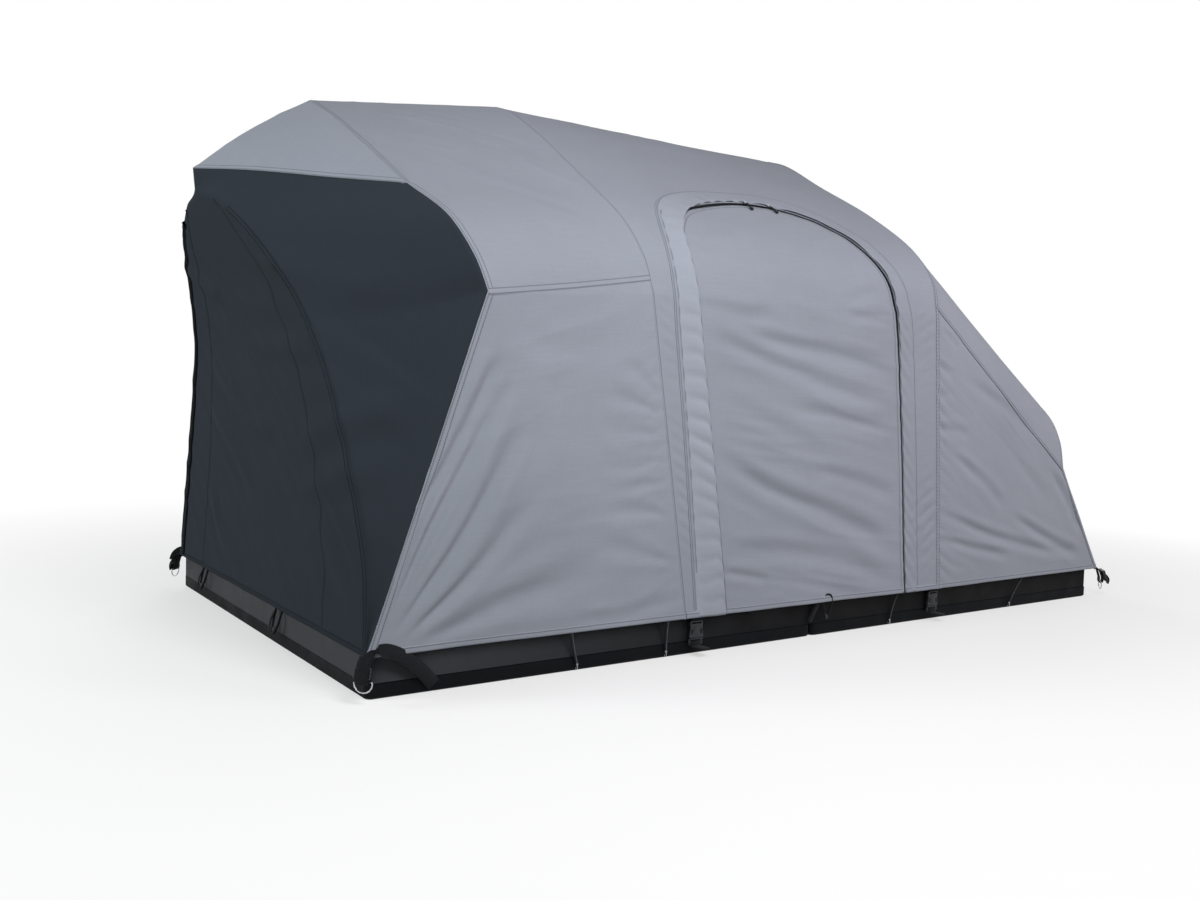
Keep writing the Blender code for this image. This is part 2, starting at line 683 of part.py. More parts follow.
low, top = BOARD_T + GAP, WALL_TOP
wall = [rounded_rect(BASE_X0 + WALL_T, BASE_X1 - WALL_T, BASE_HALF - WALL_T, 0.012, low),
        rounded_rect(BASE_X0, BASE_X1, BASE_HALF, 0.016, low),
        rounded_rect(BASE_X0, BASE_X1, BASE_HALF, 0.016, top),
        rounded_rect(BASE_X0 + WALL_T, BASE_X1 - WALL_T, BASE_HALF - WALL_T, 0.012, top)]
skin("base_wall", wall, WALL_GREY, closed=True)

for side, sign in (("near", -1), ("far", 1)):
    y0, y1 = sorted((sign * RAIL_IN, sign * RAIL_OUT))
    box("side_rail_" + side, (0.0062 - CENTRE_X, y0, WALL_TOP + GAP),
        (FOOT_LENGTH - 0.0150 - CENTRE_X, y1, RAIL_TOP), POLE_METAL)


def mattress():
    """Foam mat with a soft crown, drawn-in sides and a crease at the fold."""
    x0, x1, half = BASE_X0 + WALL_T + 0.003, BASE_X1 - WALL_T - 0.003, RAIL_IN - 0.003
    cols, rows = 19, 11
    rings = []
    floor = BOARD_T + GAP
    bm = bmesh.new()
    top, low = {}, {}
    for i in range(cols):
        for j in range(rows):
            u, v = 2 * i / (cols - 1) - 1, 2 * j / (rows - 1) - 1
            cx, cy = 0.5 * (x0 + x1), 0.5 * (x1 - x0)
            edge = (1 - abs(u) ** 7) * (1 - abs(v) ** 5)
            crease = 0.012 * math.exp(-(u * 18) ** 2)
            z = MATTRESS_TOP - 0.012 + (MATTRESS_CROWN + 0.012) * edge ** 0.6 - crease
            top[i, j] = bm.verts.new((cx + cy * u * (1 - 0.003 * (1 - edge)) - CENTRE_X,
                                      half * v * (1 - 0.004 * (1 - edge)), z))
            low[i, j] = bm.verts.new((cx + cy * u * 0.994 - CENTRE_X, half * v * 0.990, floor))
    ring_ij = ([(i, 0) for i in range(cols)] + [(cols - 1, j) for j in range(1, rows)]
               + [(i, rows - 1) for i in range(cols - 2, -1, -1)]
               + [(0, j) for j in range(rows - 2, 0, -1)])
    belly = {}
    for i, j in ring_ij:
        u, v = 2 * i / (cols - 1) - 1, 2 * j / (rows - 1) - 1
        belly[i, j] = bm.verts.new((0.5 * (x0 + x1) + 0.5 * (x1 - x0) * u - CENTRE_X,
                                    half * v, 0.5 * (floor + MATTRESS_TOP - 0.012)))
    for i in range(cols - 1):
        for j in range(rows - 1):
            bm.faces.new((top[i, j], top[i + 1, j], top[i + 1, j + 1], top[i, j + 1]))
            bm.faces.new((low[i, j + 1], low[i + 1, j + 1], low[i + 1, j], low[i, j]))
    for k, a in enumerate(ring_ij):
        b = ring_ij[(k + 1) % len(ring_ij)]
        bm.faces.new((low[a], low[b], belly[b], belly[a]))
        bm.faces.new((belly[a], belly[b], top[b], top[a]))
    return add_object("mattress", bm, FOAM_GREY, smooth=True)


mattress()


# Corner straps and rings
def corner(name, foot_x, out_x, out_y):
    """A webbing loop under a corner of the fly, with a swinging D-ring in it."""
    diag = Vector((out_x, out_y, 0)).normalized()
    side = Vector((-diag.y, diag.x, 0))
    origin = Vector((foot_x - CENTRE_X, out_y * FOOT_HALF, 0))
    loop = [(0.000, 0.0750), (0.0045, 0.0600), (0.0070, 0.0500), (0.0070, 0.0420)]
    for k in range(1, 6):
        a = math.pi * k / 6
        loop.append((0.011 - 0.004 * math.cos(a), 0.042 - 0.004 * math.sin(a)))
    loop += [(0.0150, 0.0420), (0.0150, 0.0520), (0.0115, 0.0610), (0.0085, 0.0670)]
    path = [origin + diag * d + Vector((0, 0, z)) for d, z in loop]
    skin("corner_strap_" + name, strip_rings(path, WEBBING_HALF, STRAP_T, side), WEBBING)

    pivot = origin + diag * 0.011 + Vector((0, 0, 0.0380 + STRAP_T / 2 + GAP + RING_WIRE))
    half = RING_HALF
    path = [(-half, 0.0), (-half / 3, 0.0), (half / 3, 0.0), (half, 0.0)]
    for k in range(9):
        a = math.pi * k / 8
        path.append(((half + RING_WIRE) * math.cos(a), -0.0035 - RING_DROP * math.sin(a)))
    points = [side * a + Vector((0, 0, b)) for a, b in path]
    ring = tube("corner_ring_" + name, points, RING_WIRE, RING_STEEL, cyclic=True)
    ring.location = pivot
    return pivot, side


corner("rear_near", 0.0, -1, -1)
corner("rear_far", 0.0, -1, 1)
corner("nose_near", FOOT_LENGTH, 1, -1)
corner("nose_far", FOOT_LENGTH, 1, 1)


# Buckles
def flat_ring(x, half, y_in, y_out, z, sign):
    """A level rectangle, as one ring of a buckle's body."""
    return [(x - half, sign * y_in, z), (x + half, sign * y_in, z),
            (x + half, sign * y_out, z), (x - half, sign * y_out, z)]


def buckle(name, foot_x, sign):
    """Side-release buckle: a socket on its strap, and the half that pulls out."""
    x = foot_x - CENTRE_X
    mid = (BUCKLE_IN + BUCKLE_OUT) / 2
    slot, tongue, tab = 0.0025, 0.0021, STRAP_T / 2
    rings = [flat_ring(x, SLOT_HALF, mid - slot, mid + slot, 0.0488, sign),
             flat_ring(x, SLOT_HALF, mid - slot, mid + slot, SOCKET_MOUTH, sign),
             flat_ring(x, BUCKLE_HALF, BUCKLE_IN, BUCKLE_OUT, SOCKET_MOUTH, sign),
             flat_ring(x, BUCKLE_HALF, BUCKLE_IN, BUCKLE_OUT, SOCKET_TOP - 0.002, sign),
             flat_ring(x, BUCKLE_HALF - 0.002, BUCKLE_IN + 0.001, BUCKLE_OUT - 0.001, SOCKET_TOP, sign),
             flat_ring(x, WEBBING_HALF, mid - tab, mid + tab, SOCKET_TOP, sign),
             flat_ring(x, WEBBING_HALF, mid - tab, mid + tab, 0.0815, sign)]
    skin("buckle_socket_" + name, rings, BUCKLE_PLASTIC)
    block = SOCKET_MOUTH - GAP
    rings = [flat_ring(x, TONGUE_HALF - 0.002, mid - tongue, mid + tongue, 0.0484, sign),
             flat_ring(x, TONGUE_HALF, mid - tongue, mid + tongue, 0.0455, sign),
             flat_ring(x, TONGUE_HALF, mid - tongue, mid + tongue, block, sign),
             flat_ring(x, BUCKLE_HALF, BUCKLE_IN, BUCKLE_OUT, block, sign),
             flat_ring(x, BUCKLE_HALF, BUCKLE_IN, BUCKLE_OUT, 0.0215, sign),
             flat_ring(x, BUCKLE_HALF - 0.003, BUCKLE_IN + 0.0015, BUCKLE_OUT - 0.0015, 0.0195, sign),
             flat_ring(x, WEBBING_HALF, mid - tab, mid + tab, 0.0195, sign)]
    path = [(mid + 0.0030, 0.0176), (mid + 0.0080, 0.0171), (mid + 0.0170, 0.0176),
            (mid + 0.0260, 0.0180), (mid + 0.0340, 0.0171)]
    for k, (y, z) in enumerate(path):
        lean = (0.7, 0.1, -0.05, 0.0, 0.1)[k]
        ny, nz = math.sin(lean) * tab, math.cos(lean) * tab
        w = WEBBING_HALF
        rings.append([(x - w, sign * (y - ny), z - nz), (x + w, sign * (y - ny), z - nz),
                      (x + w, sign * (y + ny), z + nz), (x - w, sign * (y + ny), z + nz)])
    plug = skin("buckle_plug_" + name, rings, BUCKLE_PLASTIC)
    set_origin(plug, (x, sign * mid, block))


for side, sign in (("near", -1), ("far", 1)):
    for index, foot_x in enumerate(BUCKLE_X):
        buckle("%s_%s" % (("rear", "front")[index], side), foot_x, sign)


# Hem ties, tabs and loops
for side, sign in (("near", -1), ("far", 1)):
    for index, (top_x, low_x) in enumerate(TIE_X):
        path = []
        for s in np.linspace(0.0, 1.0, 6):
            y = 0.5895 - 0.0105 * math.sin(math.pi * s / 2) ** 0.8
            path.append((top_x * (1 - s) + low_x * s - CENTRE_X, sign * y, 0.0745 - 0.0625 * s))
        skin("hem_tie_%s_%d" % (side, index + 1), strip_rings(path, TIE_HALF, 0.0020, (1, 0, 0)), WEBBING)
    path = []
    for s in np.linspace(0.0, 1.0, 6):
        path.append((DOOR_TAB_X - 0.020 * s - CENTRE_X, sign * (0.5850 - 0.004 * s), 0.0740 - 0.040 * s))
    rings = strip_rings(path, TAB_HALF, 0.0024, (1, 0, 0))
    skin("door_tab_" + side, rings, WEBBING)

for index, y in enumerate(REAR_LOOP_Y):
    path = []
    for k in range(9):
        a = math.pi * k / 8
        path.append((0.0015 - LOOP_REACH * math.sin(a) - CENTRE_X,
                     y + LOOP_HALF * math.cos(a), 0.0735 - LOOP_DROP * math.sin(a)))
    skin("rear_loop_%d" % (index + 1), strip_rings(path, 0.0022, 0.0030, (1, 0, 0.3)), WEBBING)
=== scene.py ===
import json
import math
from contextlib import contextmanager

import bmesh
import bpy
import numpy as np
from mathutils import Matrix, Vector

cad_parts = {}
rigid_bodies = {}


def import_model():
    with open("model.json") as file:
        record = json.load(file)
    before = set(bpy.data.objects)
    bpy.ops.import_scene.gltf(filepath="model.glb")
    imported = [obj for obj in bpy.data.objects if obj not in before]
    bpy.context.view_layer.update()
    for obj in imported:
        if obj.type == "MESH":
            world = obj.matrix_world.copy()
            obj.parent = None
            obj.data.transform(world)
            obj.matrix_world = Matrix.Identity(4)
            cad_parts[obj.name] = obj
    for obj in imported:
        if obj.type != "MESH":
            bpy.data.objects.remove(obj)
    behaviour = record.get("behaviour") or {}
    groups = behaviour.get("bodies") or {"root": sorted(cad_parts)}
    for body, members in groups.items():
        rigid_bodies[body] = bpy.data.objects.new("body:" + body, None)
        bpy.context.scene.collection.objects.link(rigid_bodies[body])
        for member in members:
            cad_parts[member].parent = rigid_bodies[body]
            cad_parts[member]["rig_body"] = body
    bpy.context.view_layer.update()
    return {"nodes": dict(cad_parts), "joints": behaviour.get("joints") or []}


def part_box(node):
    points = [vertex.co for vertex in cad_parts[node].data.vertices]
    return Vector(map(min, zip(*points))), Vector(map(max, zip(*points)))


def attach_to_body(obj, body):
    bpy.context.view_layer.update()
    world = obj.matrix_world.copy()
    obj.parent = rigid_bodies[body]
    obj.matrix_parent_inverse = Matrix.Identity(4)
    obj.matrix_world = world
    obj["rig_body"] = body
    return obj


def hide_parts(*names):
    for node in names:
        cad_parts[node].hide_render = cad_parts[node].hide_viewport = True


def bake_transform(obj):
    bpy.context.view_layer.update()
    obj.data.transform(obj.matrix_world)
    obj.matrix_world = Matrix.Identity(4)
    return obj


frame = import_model()

# Positions below are (from the rear feet, from the centre plane, height), as in the CAD
CENTRE_X = 0.9882
HEM_Z = 0.076
HALF_WIDTH = 0.592             # of the tent, at its feet
FOOT_LENGTH = 2.083
FLY_T = 0.0016
INSIDE_Z = 0.35                # height of a point inside the tent, which its cloth faces away from
K = 6          # points for each step of a hoop
LEG, SHOULDER, ARCH = 20, 5, 12     # steps of a hoop's leg, of the rear hoop's shoulder and of an arch

REAR_LEG = [(0.000, HALF_WIDTH, HEM_Z), (0.213, 0.590, 0.690)]
REAR_SHOULDER = [(0.213, 0.590, 0.690), (0.204, 0.583, 0.722), (0.196, 0.568, 0.754),
                 (0.175, 0.514, 0.822), (0.154, 0.382, 0.893)]
REAR_CROWN = [(0.154, 0.382, 0.893), (0.134, 0.220, 0.990), (0.118, 0.090, 1.062),
              (0.108, 0.000, 1.104)]
MID_LEG = [(0.674, HALF_WIDTH, HEM_Z), (0.602, 0.546, 0.715)]
MID_ARCH = [(0.602, 0.546, 0.715), (0.592, 0.526, 0.785), (0.581, 0.468, 0.862),
            (0.566, 0.320, 0.972), (0.554, 0.170, 1.075), (0.546, 0.060, 1.138),
            (0.543, 0.000, 1.158)]
FRONT_LEG = [(1.418, 0.600, HEM_Z), (1.389, 0.586, 0.715)]
FRONT_ARCH = [(1.389, 0.586, 0.715), (1.388, 0.571, 0.788), (1.388, 0.518, 0.859),
              (1.388, 0.380, 0.955), (1.386, 0.200, 1.051), (1.384, 0.070, 1.122),
              (1.382, 0.000, 1.143)]
NOSE_LEG = [(FOOT_LENGTH, HALF_WIDTH, HEM_Z), (1.906, HALF_WIDTH, 0.345)]
NOSE_ARCH = [(1.906, HALF_WIDTH, 0.345), (1.904, 0.5785, 0.420), (1.901, 0.543, 0.484),
             (1.888, 0.428, 0.568), (1.876, 0.280, 0.623), (1.868, 0.120, 0.659),
             (1.863, 0.000, 0.671)]
INNER_HOOP = [(0.001, 0.582, HEM_Z), (0.005, 0.568, 0.200), (0.003, 0.534, 0.300),
              (-0.002, 0.490, 0.400), (-0.009, 0.441, 0.500), (-0.021, 0.383, 0.600),
              (-0.048, 0.316, 0.700), (-0.088, 0.215, 0.800), (-0.106, 0.145, 0.845)]
INNER_CROWN = [(-0.106, 0.145, 0.845), (-0.117, 0.080, 0.873), (-0.122, 0.000, 0.885)]
EAVE = [(0.154, 0.382, 0.893), (0.070, 0.275, 0.905), (-0.050, 0.120, 0.925),
        (-0.127, 0.000, 0.935)]
DOOR_OUTLINE = [(0.7734, 0.015), (0.7670, 0.076), (0.7342, 0.391), (0.7004, 0.715),
                (0.6960, 0.800), (0.7100, 0.856), (0.7560, 0.900), (0.8500, 0.930),
                (0.9810, 0.949), (1.0800, 0.944), (1.1560, 0.920), (1.2080, 0.872),
                (1.2440, 0.800), (1.2640, 0.715), (1.2860, 0.480), (1.3080, 0.120),
                (1.3110, 0.076), (1.3150, 0.015)]
BAND_OUTLINE = [(0.6960, 0.015), (0.6940, 0.076), (0.6740, 0.391), (0.6490, 0.715),
                (0.6500, 0.808), (0.6740, 0.885), (0.7230, 0.929), (0.8000, 0.956),
                (0.9600, 0.976), (1.0850, 0.979), (1.1700, 0.960), (1.2320, 0.915),
                (1.2800, 0.826), (1.3110, 0.715), (1.3330, 0.480), (1.3530, 0.120),
                (1.3555, 0.076), (1.3580, 0.015)]


# Curves
def smooth_curve(points, count):
    pts = np.array(points, float)
    steps = np.linalg.norm(np.diff(pts, axis=0), axis=1) ** 0.5
    knots = np.concatenate([[0.0], np.cumsum(steps)])
    slopes = np.zeros_like(pts)
    slopes[0] = (pts[1] - pts[0]) / (knots[1] - knots[0])
    slopes[-1] = (pts[-1] - pts[-2]) / (knots[-1] - knots[-2])
    for i in range(1, len(pts) - 1):
        before, after = knots[i] - knots[i - 1], knots[i + 1] - knots[i]
        low = (pts[i] - pts[i - 1]) / before
        high = (pts[i + 1] - pts[i]) / after
        slopes[i] = (low * after + high * before) / (before + after)
    fine = []
    for i in range(len(pts) - 1):
        width = knots[i + 1] - knots[i]
        for s in np.linspace(0.0, 1.0, 40, endpoint=False):
            fine.append((2 * s**3 - 3 * s**2 + 1) * pts[i]
                        + (s**3 - 2 * s**2 + s) * width * slopes[i]
                        + (-2 * s**3 + 3 * s**2) * pts[i + 1]
                        + (s**3 - s**2) * width * slopes[i + 1])
    fine.append(pts[-1])
    return even_steps(np.array(fine), count)


def arc_lengths(line):
    return np.concatenate([[0.0], np.cumsum(np.linalg.norm(np.diff(line, axis=0), axis=1))])


def even_steps(line, count):
    lengths = arc_lengths(line)
    where = np.linspace(0.0, lengths[-1], count)
    return np.stack([np.interp(where, lengths, line[:, k]) for k in range(line.shape[1])], 1)


def place(points):
    pts = np.array(points, float)
    return np.stack([pts[..., 0] - CENTRE_X, -pts[..., 1], pts[..., 2]], -1)


def mirrored(points):
    out = np.array(points, float)
    out[..., 1] = -out[..., 1]
    return out


def whole_hoop(near):
    return np.concatenate([near, mirrored(near[::-1][1:])])


def near_hoop(*runs):
    parts = [smooth_curve(runs[0][0], runs[0][1] * K + 1)]
    for run, steps in runs[1:]:
        parts.append(smooth_curve(run, steps * K + 1)[1:])
    return place(np.concatenate(parts))


HOOP_REAR = whole_hoop(near_hoop((REAR_LEG, LEG), (REAR_SHOULDER, SHOULDER), (REAR_CROWN, ARCH - SHOULDER)))
HOOP_MID = whole_hoop(near_hoop((MID_LEG, LEG), (MID_ARCH, ARCH)))
HOOP_FRONT = whole_hoop(near_hoop((FRONT_LEG, LEG), (FRONT_ARCH, ARCH)))
HOOP_NOSE = whole_hoop(near_hoop((NOSE_LEG, LEG), (NOSE_ARCH, ARCH)))
ELBOW = LEG * K
EAVE_INDEX = ELBOW + SHOULDER * K
HALF = ELBOW + ARCH * K + 1
LAST = 2 * HALF - 2
# Each point's row among the CAD's rows from the hem to the ridge
LEG_ROWS, EAVE_ROW, CAD_ROWS = 7, 11, 19
CAD_ROW = np.concatenate([np.arange(ELBOW) / ELBOW * LEG_ROWS, LEG_ROWS + np.arange(ARCH * K + 1) / K])
RIDGE_U = 1 - CAD_ROW / CAD_ROWS
RIDGE_U = np.concatenate([RIDGE_U, RIDGE_U[::-1][1:]])


# Noise
def lattice_noise(a, b, seed, octaves=1):
    """Smooth noise of two numpy coordinates, about -1 to 1."""
    total = np.zeros(np.shape(a))
    size = 1.0
    for octave in range(octaves):
        table = np.random.RandomState(seed + 17 * octave).rand(64, 64) * 2 - 1
        ia, ib = np.floor(a).astype(int), np.floor(b).astype(int)
        fa, fb = a - ia, b - ib
        fa, fb = fa * fa * (3 - 2 * fa), fb * fb * (3 - 2 * fb)
        v = (table[ia % 64, ib % 64] * (1 - fa) * (1 - fb) + table[(ia + 1) % 64, ib % 64] * fa * (1 - fb)
             + table[ia % 64, (ib + 1) % 64] * (1 - fa) * fb
             + table[(ia + 1) % 64, (ib + 1) % 64] * fa * fb)
        total += v * size
        size *= 0.5
        a, b = a * 2.03 + 5.1, b * 2.03 + 9.7
    return total


def ramp(x, low, high):
    t = np.clip((x - low) / (high - low), 0.0, 1.0)
    return t * t * (3 - 2 * t)


# Door outlines
def side_outline(points):
    ctrl = np.array(points)
    inner = smooth_curve(np.column_stack([ctrl[1:-1], np.zeros(len(ctrl) - 2)]), 140)[:, :2]
    return np.concatenate([ctrl[:1], inner, ctrl[-1:]])


DOOR_LINE = side_outline(DOOR_OUTLINE)
BAND_LINE = side_outline(BAND_OUTLINE)


def line_distance(x, z, line):
    """Signed distance in side view to a line of points, and how far along it that is, 0 to 1."""
    p = np.column_stack([np.ravel(x), np.ravel(z)])[:, None]
    a, ab = line[:-1][None], np.diff(line, axis=0)[None]
    t = np.clip(((p - a) * ab).sum(-1) / (ab * ab).sum(-1), 0, 1)
    gap = p - (a + ab * t[..., None])
    size = np.sqrt((gap ** 2).sum(-1))
    k = size.argmin(1)
    i = np.arange(len(k))
    cross = ab[0, k, 0] * gap[i, k, 1] - ab[0, k, 1] * gap[i, k, 0]
    lengths = arc_lengths(line)
    along = (lengths[k] + t[i, k] * np.diff(lengths)[k]) / lengths[-1]
    signed = size[i, k] * np.where(cross > 0, 1.0, -1.0)
    return signed.reshape(np.shape(x)), along.reshape(np.shape(x))


# Folds in the cloth: depth and width in millimetres, whether the fold spreads from a
# corner, then its valley as seen from the side (from the rear feet, height)
CREASES = {
    "rear": [
        (7.5, 12, True, [(0.044, 0.100), (0.117, 0.190), (0.180, 0.270), (0.250, 0.380), (0.330, 0.520)]),
        (8.5, 11, True, [(0.040, 0.130), (0.083, 0.222), (0.130, 0.310), (0.203, 0.440), (0.290, 0.600)]),
        (7.5, 12, False, [(0.085, 0.290), (0.145, 0.400), (0.190, 0.480), (0.250, 0.600)]),
        (5.0, 9, True, [(0.034, 0.150), (0.060, 0.230), (0.092, 0.320), (0.130, 0.420)]),
        (6.0, 13, True, [(0.060, 0.090), (0.137, 0.152), (0.200, 0.205), (0.280, 0.280), (0.370, 0.380)]),
        (4.5, 20, True, [(0.080, 0.082), (0.170, 0.112), (0.280, 0.150), (0.380, 0.175), (0.500, 0.200)]),
        (2.4, 13, False, [(0.381, 0.098), (0.517, 0.092), (0.600, 0.110), (0.661, 0.126)]),
        (1.6, 12, True, [(0.628, 0.386), (0.605, 0.389), (0.529, 0.379), (0.440, 0.392)]),
        (1.5, 12, True, [(0.634, 0.346), (0.612, 0.346), (0.531, 0.339), (0.430, 0.345)]),
        (1.8, 13, True, [(0.642, 0.280), (0.629, 0.283), (0.568, 0.291), (0.450, 0.300)]),
        (2.0, 14, True, [(0.655, 0.188), (0.559, 0.214), (0.430, 0.232)]),
        (1.4, 11, True, [(0.612, 0.518), (0.570, 0.554), (0.510, 0.580)]),
        (1.5, 11, True, [(0.618, 0.482), (0.548, 0.502), (0.460, 0.528)]),
        (1.3, 12, True, [(0.622, 0.440), (0.540, 0.446), (0.450, 0.462)]),
        (1.0, 22, False, [(0.250, 0.640), (0.360, 0.600), (0.470, 0.610), (0.580, 0.640)]),
        (2.0, 20, False, [(0.240, 0.250), (0.300, 0.350), (0.350, 0.470), (0.390, 0.580)]),
    ],
    "door": [
        (5.2, 15, False, [(0.694, 0.641), (0.781, 0.623), (0.863, 0.598), (0.964, 0.570), (1.070, 0.540),
                          (1.181, 0.516), (1.273, 0.499)]),
        (4.2, 14, False, [(0.792, 0.656), (0.931, 0.633), (1.080, 0.618), (1.261, 0.584)]),
        (3.2, 17, False, [(0.939, 0.500), (1.028, 0.482), (1.120, 0.469), (1.277, 0.451)]),
        (4.8, 17, False, [(0.720, 0.407), (0.792, 0.379), (0.877, 0.336), (0.979, 0.301), (1.134, 0.246),
                          (1.295, 0.174)]),
        (4.4, 17, False, [(0.747, 0.212), (0.870, 0.196), (0.985, 0.180), (1.108, 0.159), (1.283, 0.110)]),
        (2.8, 9, False, [(0.757, 0.163), (0.817, 0.152), (0.901, 0.129)]),
        (2.6, 12, False, [(0.693, 0.845), (0.758, 0.824), (0.866, 0.814)]),
        (2.4, 11, False, [(1.106, 0.693), (1.253, 0.703)]),
        (2.4, 11, False, [(1.104, 0.731), (1.239, 0.766)]),
        (2.6, 15, False, [(0.686, 0.705), (0.791, 0.688), (0.929, 0.683)]),
        (4.0, 14, False, [(1.005, 0.364), (1.128, 0.339), (1.288, 0.289)]),
        (1.8, 16, False, [(0.740, 0.520), (0.860, 0.480), (0.980, 0.420), (1.090, 0.390)]),
    ],
    "front": [
        (5.0, 11, False, [(1.684, 0.244), (1.790, 0.194), (1.900, 0.149), (2.015, 0.113)]),
        (3.6, 11, False, [(1.444, 0.395), (1.520, 0.362), (1.600, 0.307), (1.675, 0.250)]),
        (3.4, 10, False, [(1.371, 0.279), (1.493, 0.234), (1.609, 0.196), (1.752, 0.158), (1.969, 0.116)]),
        (3.0, 9, False, [(1.387, 0.203), (1.535, 0.168), (1.713, 0.132)]),
        (2.6, 10, False, [(1.359, 0.449), (1.440, 0.449), (1.533, 0.432)]),
        (2.8, 9, False, [(1.332, 0.636), (1.419, 0.593), (1.470, 0.570)]),
        (2.4, 9, False, [(1.334, 0.605), (1.414, 0.561)]),
        (2.4, 9, False, [(1.344, 0.564), (1.453, 0.519)]),
        (2.4, 9, False, [(1.405, 0.681), (1.480, 0.637)]),
        (2.6, 12, False, [(1.485, 0.579), (1.642, 0.510), (1.811, 0.423)]),
        (3.4, 11, False, [(1.838, 0.358), (1.919, 0.279), (2.009, 0.169)]),
        (2.0, 14, False, [(1.560, 0.500), (1.660, 0.420), (1.780, 0.320), (1.880, 0.240)]),
    ],
}
# Ridges of the end panel, seen from behind: height and width in millimetres, then
# its line (towards the far side, height)
PANEL_RIDGES = [
    (5.5, 17, [(0.296, 0.782), (0.194, 0.725), (0.086, 0.689)]),
    (5.0, 19, [(0.307, 0.585), (0.188, 0.508), (0.011, 0.440), (-0.147, 0.409)]),
    (5.0, 18, [(0.345, 0.470), (0.148, 0.369), (0.006, 0.296)]),
    (5.5, 18, [(0.357, 0.285), (0.257, 0.181), (0.069, 0.119)]),
    (3.5, 24, [(0.018, 0.686), (-0.279, 0.656), (-0.450, 0.665)]),
    (3.5, 24, [(0.010, 0.610), (-0.240, 0.590), (-0.470, 0.600)]),
    (3.5, 24, [(-0.200, 0.760), (-0.340, 0.720), (-0.500, 0.700)]),
    (3.5, 24, [(-0.250, 0.420), (-0.435, 0.461), (-0.570, 0.500)]),
    (3.0, 22, [(-0.240, 0.330), (-0.400, 0.350), (-0.560, 0.390)]),
    (3.0, 22, [(-0.560, 0.130), (-0.420, 0.220), (-0.260, 0.270)]),
]


def crease(x, z, depth, width, fan, points):
    """Outward height of one fold: a valley along its line and a soft ridge on either side."""
    line = smooth_curve([(a, b, 0.0) for a, b in points], 14)[:, :2]
    low, high = line.min(0) - 0.07, line.max(0) + 0.07
    near = (x > low[0]) & (x < high[0]) & (z > low[1]) & (z < high[1])
    out = np.zeros(np.shape(x))
    if not near.any():
        return out
    across, along = line_distance(x[near], z[near], line)
    wander = lattice_noise(along * 3.1 + 7, along * 0 + width, int(1000 * abs(points[0][0])) + 3)
    size = width * 0.001 * ((0.35 + 1.4 * along) if fan else (0.85 + 0.35 * along))
    a = across / size + 0.25 * wander
    shape = (-np.exp(-a * a) + 0.55 * np.exp(-((a - 1.9) / 0.95) ** 2)
             + 0.32 * np.exp(-((a + 2.0) / 1.0) ** 2))
    hold = ramp(along, 0.0, 0.24 if fan else 0.30) * (1 - ramp(along, 0.60 if fan else 0.76, 1.0))
    out[near] = depth * 0.001 * shape * hold * (1 + 0.25 * wander)
    return out


def streaks(x, z, along, long, short, seed):
    """Soft ridges that run mainly in one direction of the side view."""
    c, s = math.cos(along), math.sin(along)
    a, b = (x * c + z * s) / long, (-x * s + z * c) / short
    warp = lattice_noise(a * 0.7 + 11, b * 0.35 + 3, seed + 5) * 0.9
    n = lattice_noise(a + 20, b + warp + 20, seed, 2)
    return 1.0 - 1.6 * np.abs(n) ** 0.8


def pleats(along, across, pitch, reach, seed):
    """Small hooked gathers along a seam; across is the distance from it."""
    wander = lattice_noise(along / 0.11 + 4, across / 0.05 + 9, seed) * 1.5
    size = 0.6 + 0.5 * lattice_noise(along / 0.13 + 31, along * 0 + 2, seed + 3)
    phase = 2 * math.pi * (along + 0.55 * across) / pitch + wander
    return (np.sin(phase) + 0.35 * np.cos(2 * phase)) * size * np.exp(-np.abs(across) / reach)


def fold_height(bay, x, y, z, s, u):
    """Outward height of the cloth's folds at places in a bay; x from the rear feet."""
    far = (y > 0) * 1.0
    fold_x = x + far * 0.018 * lattice_noise(x * 6 + 40, z * 6 + 9, 91)
    fold_z = z + far * 0.018 * lattice_noise(x * 6 + 9, z * 6 + 40, 92)
    out = np.zeros(np.shape(x))
    for spec in CREASES[bay]:
        out += crease(fold_x, fold_z, *spec)
    out *= 1 + far * 0.5 * lattice_noise(x * 3 + 9, z * 3 + 5, 93)
    side = ramp(u, 0.50, 0.68)
    middle = np.sin(math.pi * np.clip(s, 0, 1)) ** 0.5
    if bay == "rear":
        out += 0.0010 * streaks(x, z, 0.25, 0.30, 0.060, 12) * side * middle
        out += 0.0019 * streaks(x, np.abs(y), 0.55, 0.30, 0.050, 15) * (1 - side) * middle
        out += 0.0009 * pleats(z, (1 - s) * 0.6, 0.034, 0.050, 21) * side
    if bay == "door":
        out += 0.0015 * streaks(x, z, -0.20, 0.34, 0.034, 31) * side * ramp(x, 0.72, 0.85) * middle
        out += 0.0016 * streaks(x, np.abs(y) * 0.8 + z * 0.3, -0.1, 0.26, 0.045, 37) * (1 - side) * middle
        out += 0.0019 * pleats(z, s * 0.80, 0.030, 0.026, 22) * side
        out += 0.0024 * pleats(z, (1 - s) * 0.80, 0.032, 0.050, 23) * side
    if bay == "front":
        out += 0.0009 * streaks(x, z, -0.62, 0.28, 0.050, 41) * side * middle
        out += 0.0015 * streaks(x, np.abs(y), 0.2, 0.30, 0.050, 45) * (1 - side) * middle
        out += 0.0022 * pleats(z, s * 0.6, 0.034, 0.050, 24) * side
    out *= 0.4 + 0.6 * ramp(z, HEM_Z + 0.004, HEM_Z + 0.040)
    return out + 0.0018 * lattice_noise(x / 0.085 + 5, far * 20.0, 95) * (1 - ramp(z, HEM_Z, HEM_Z + 0.060))


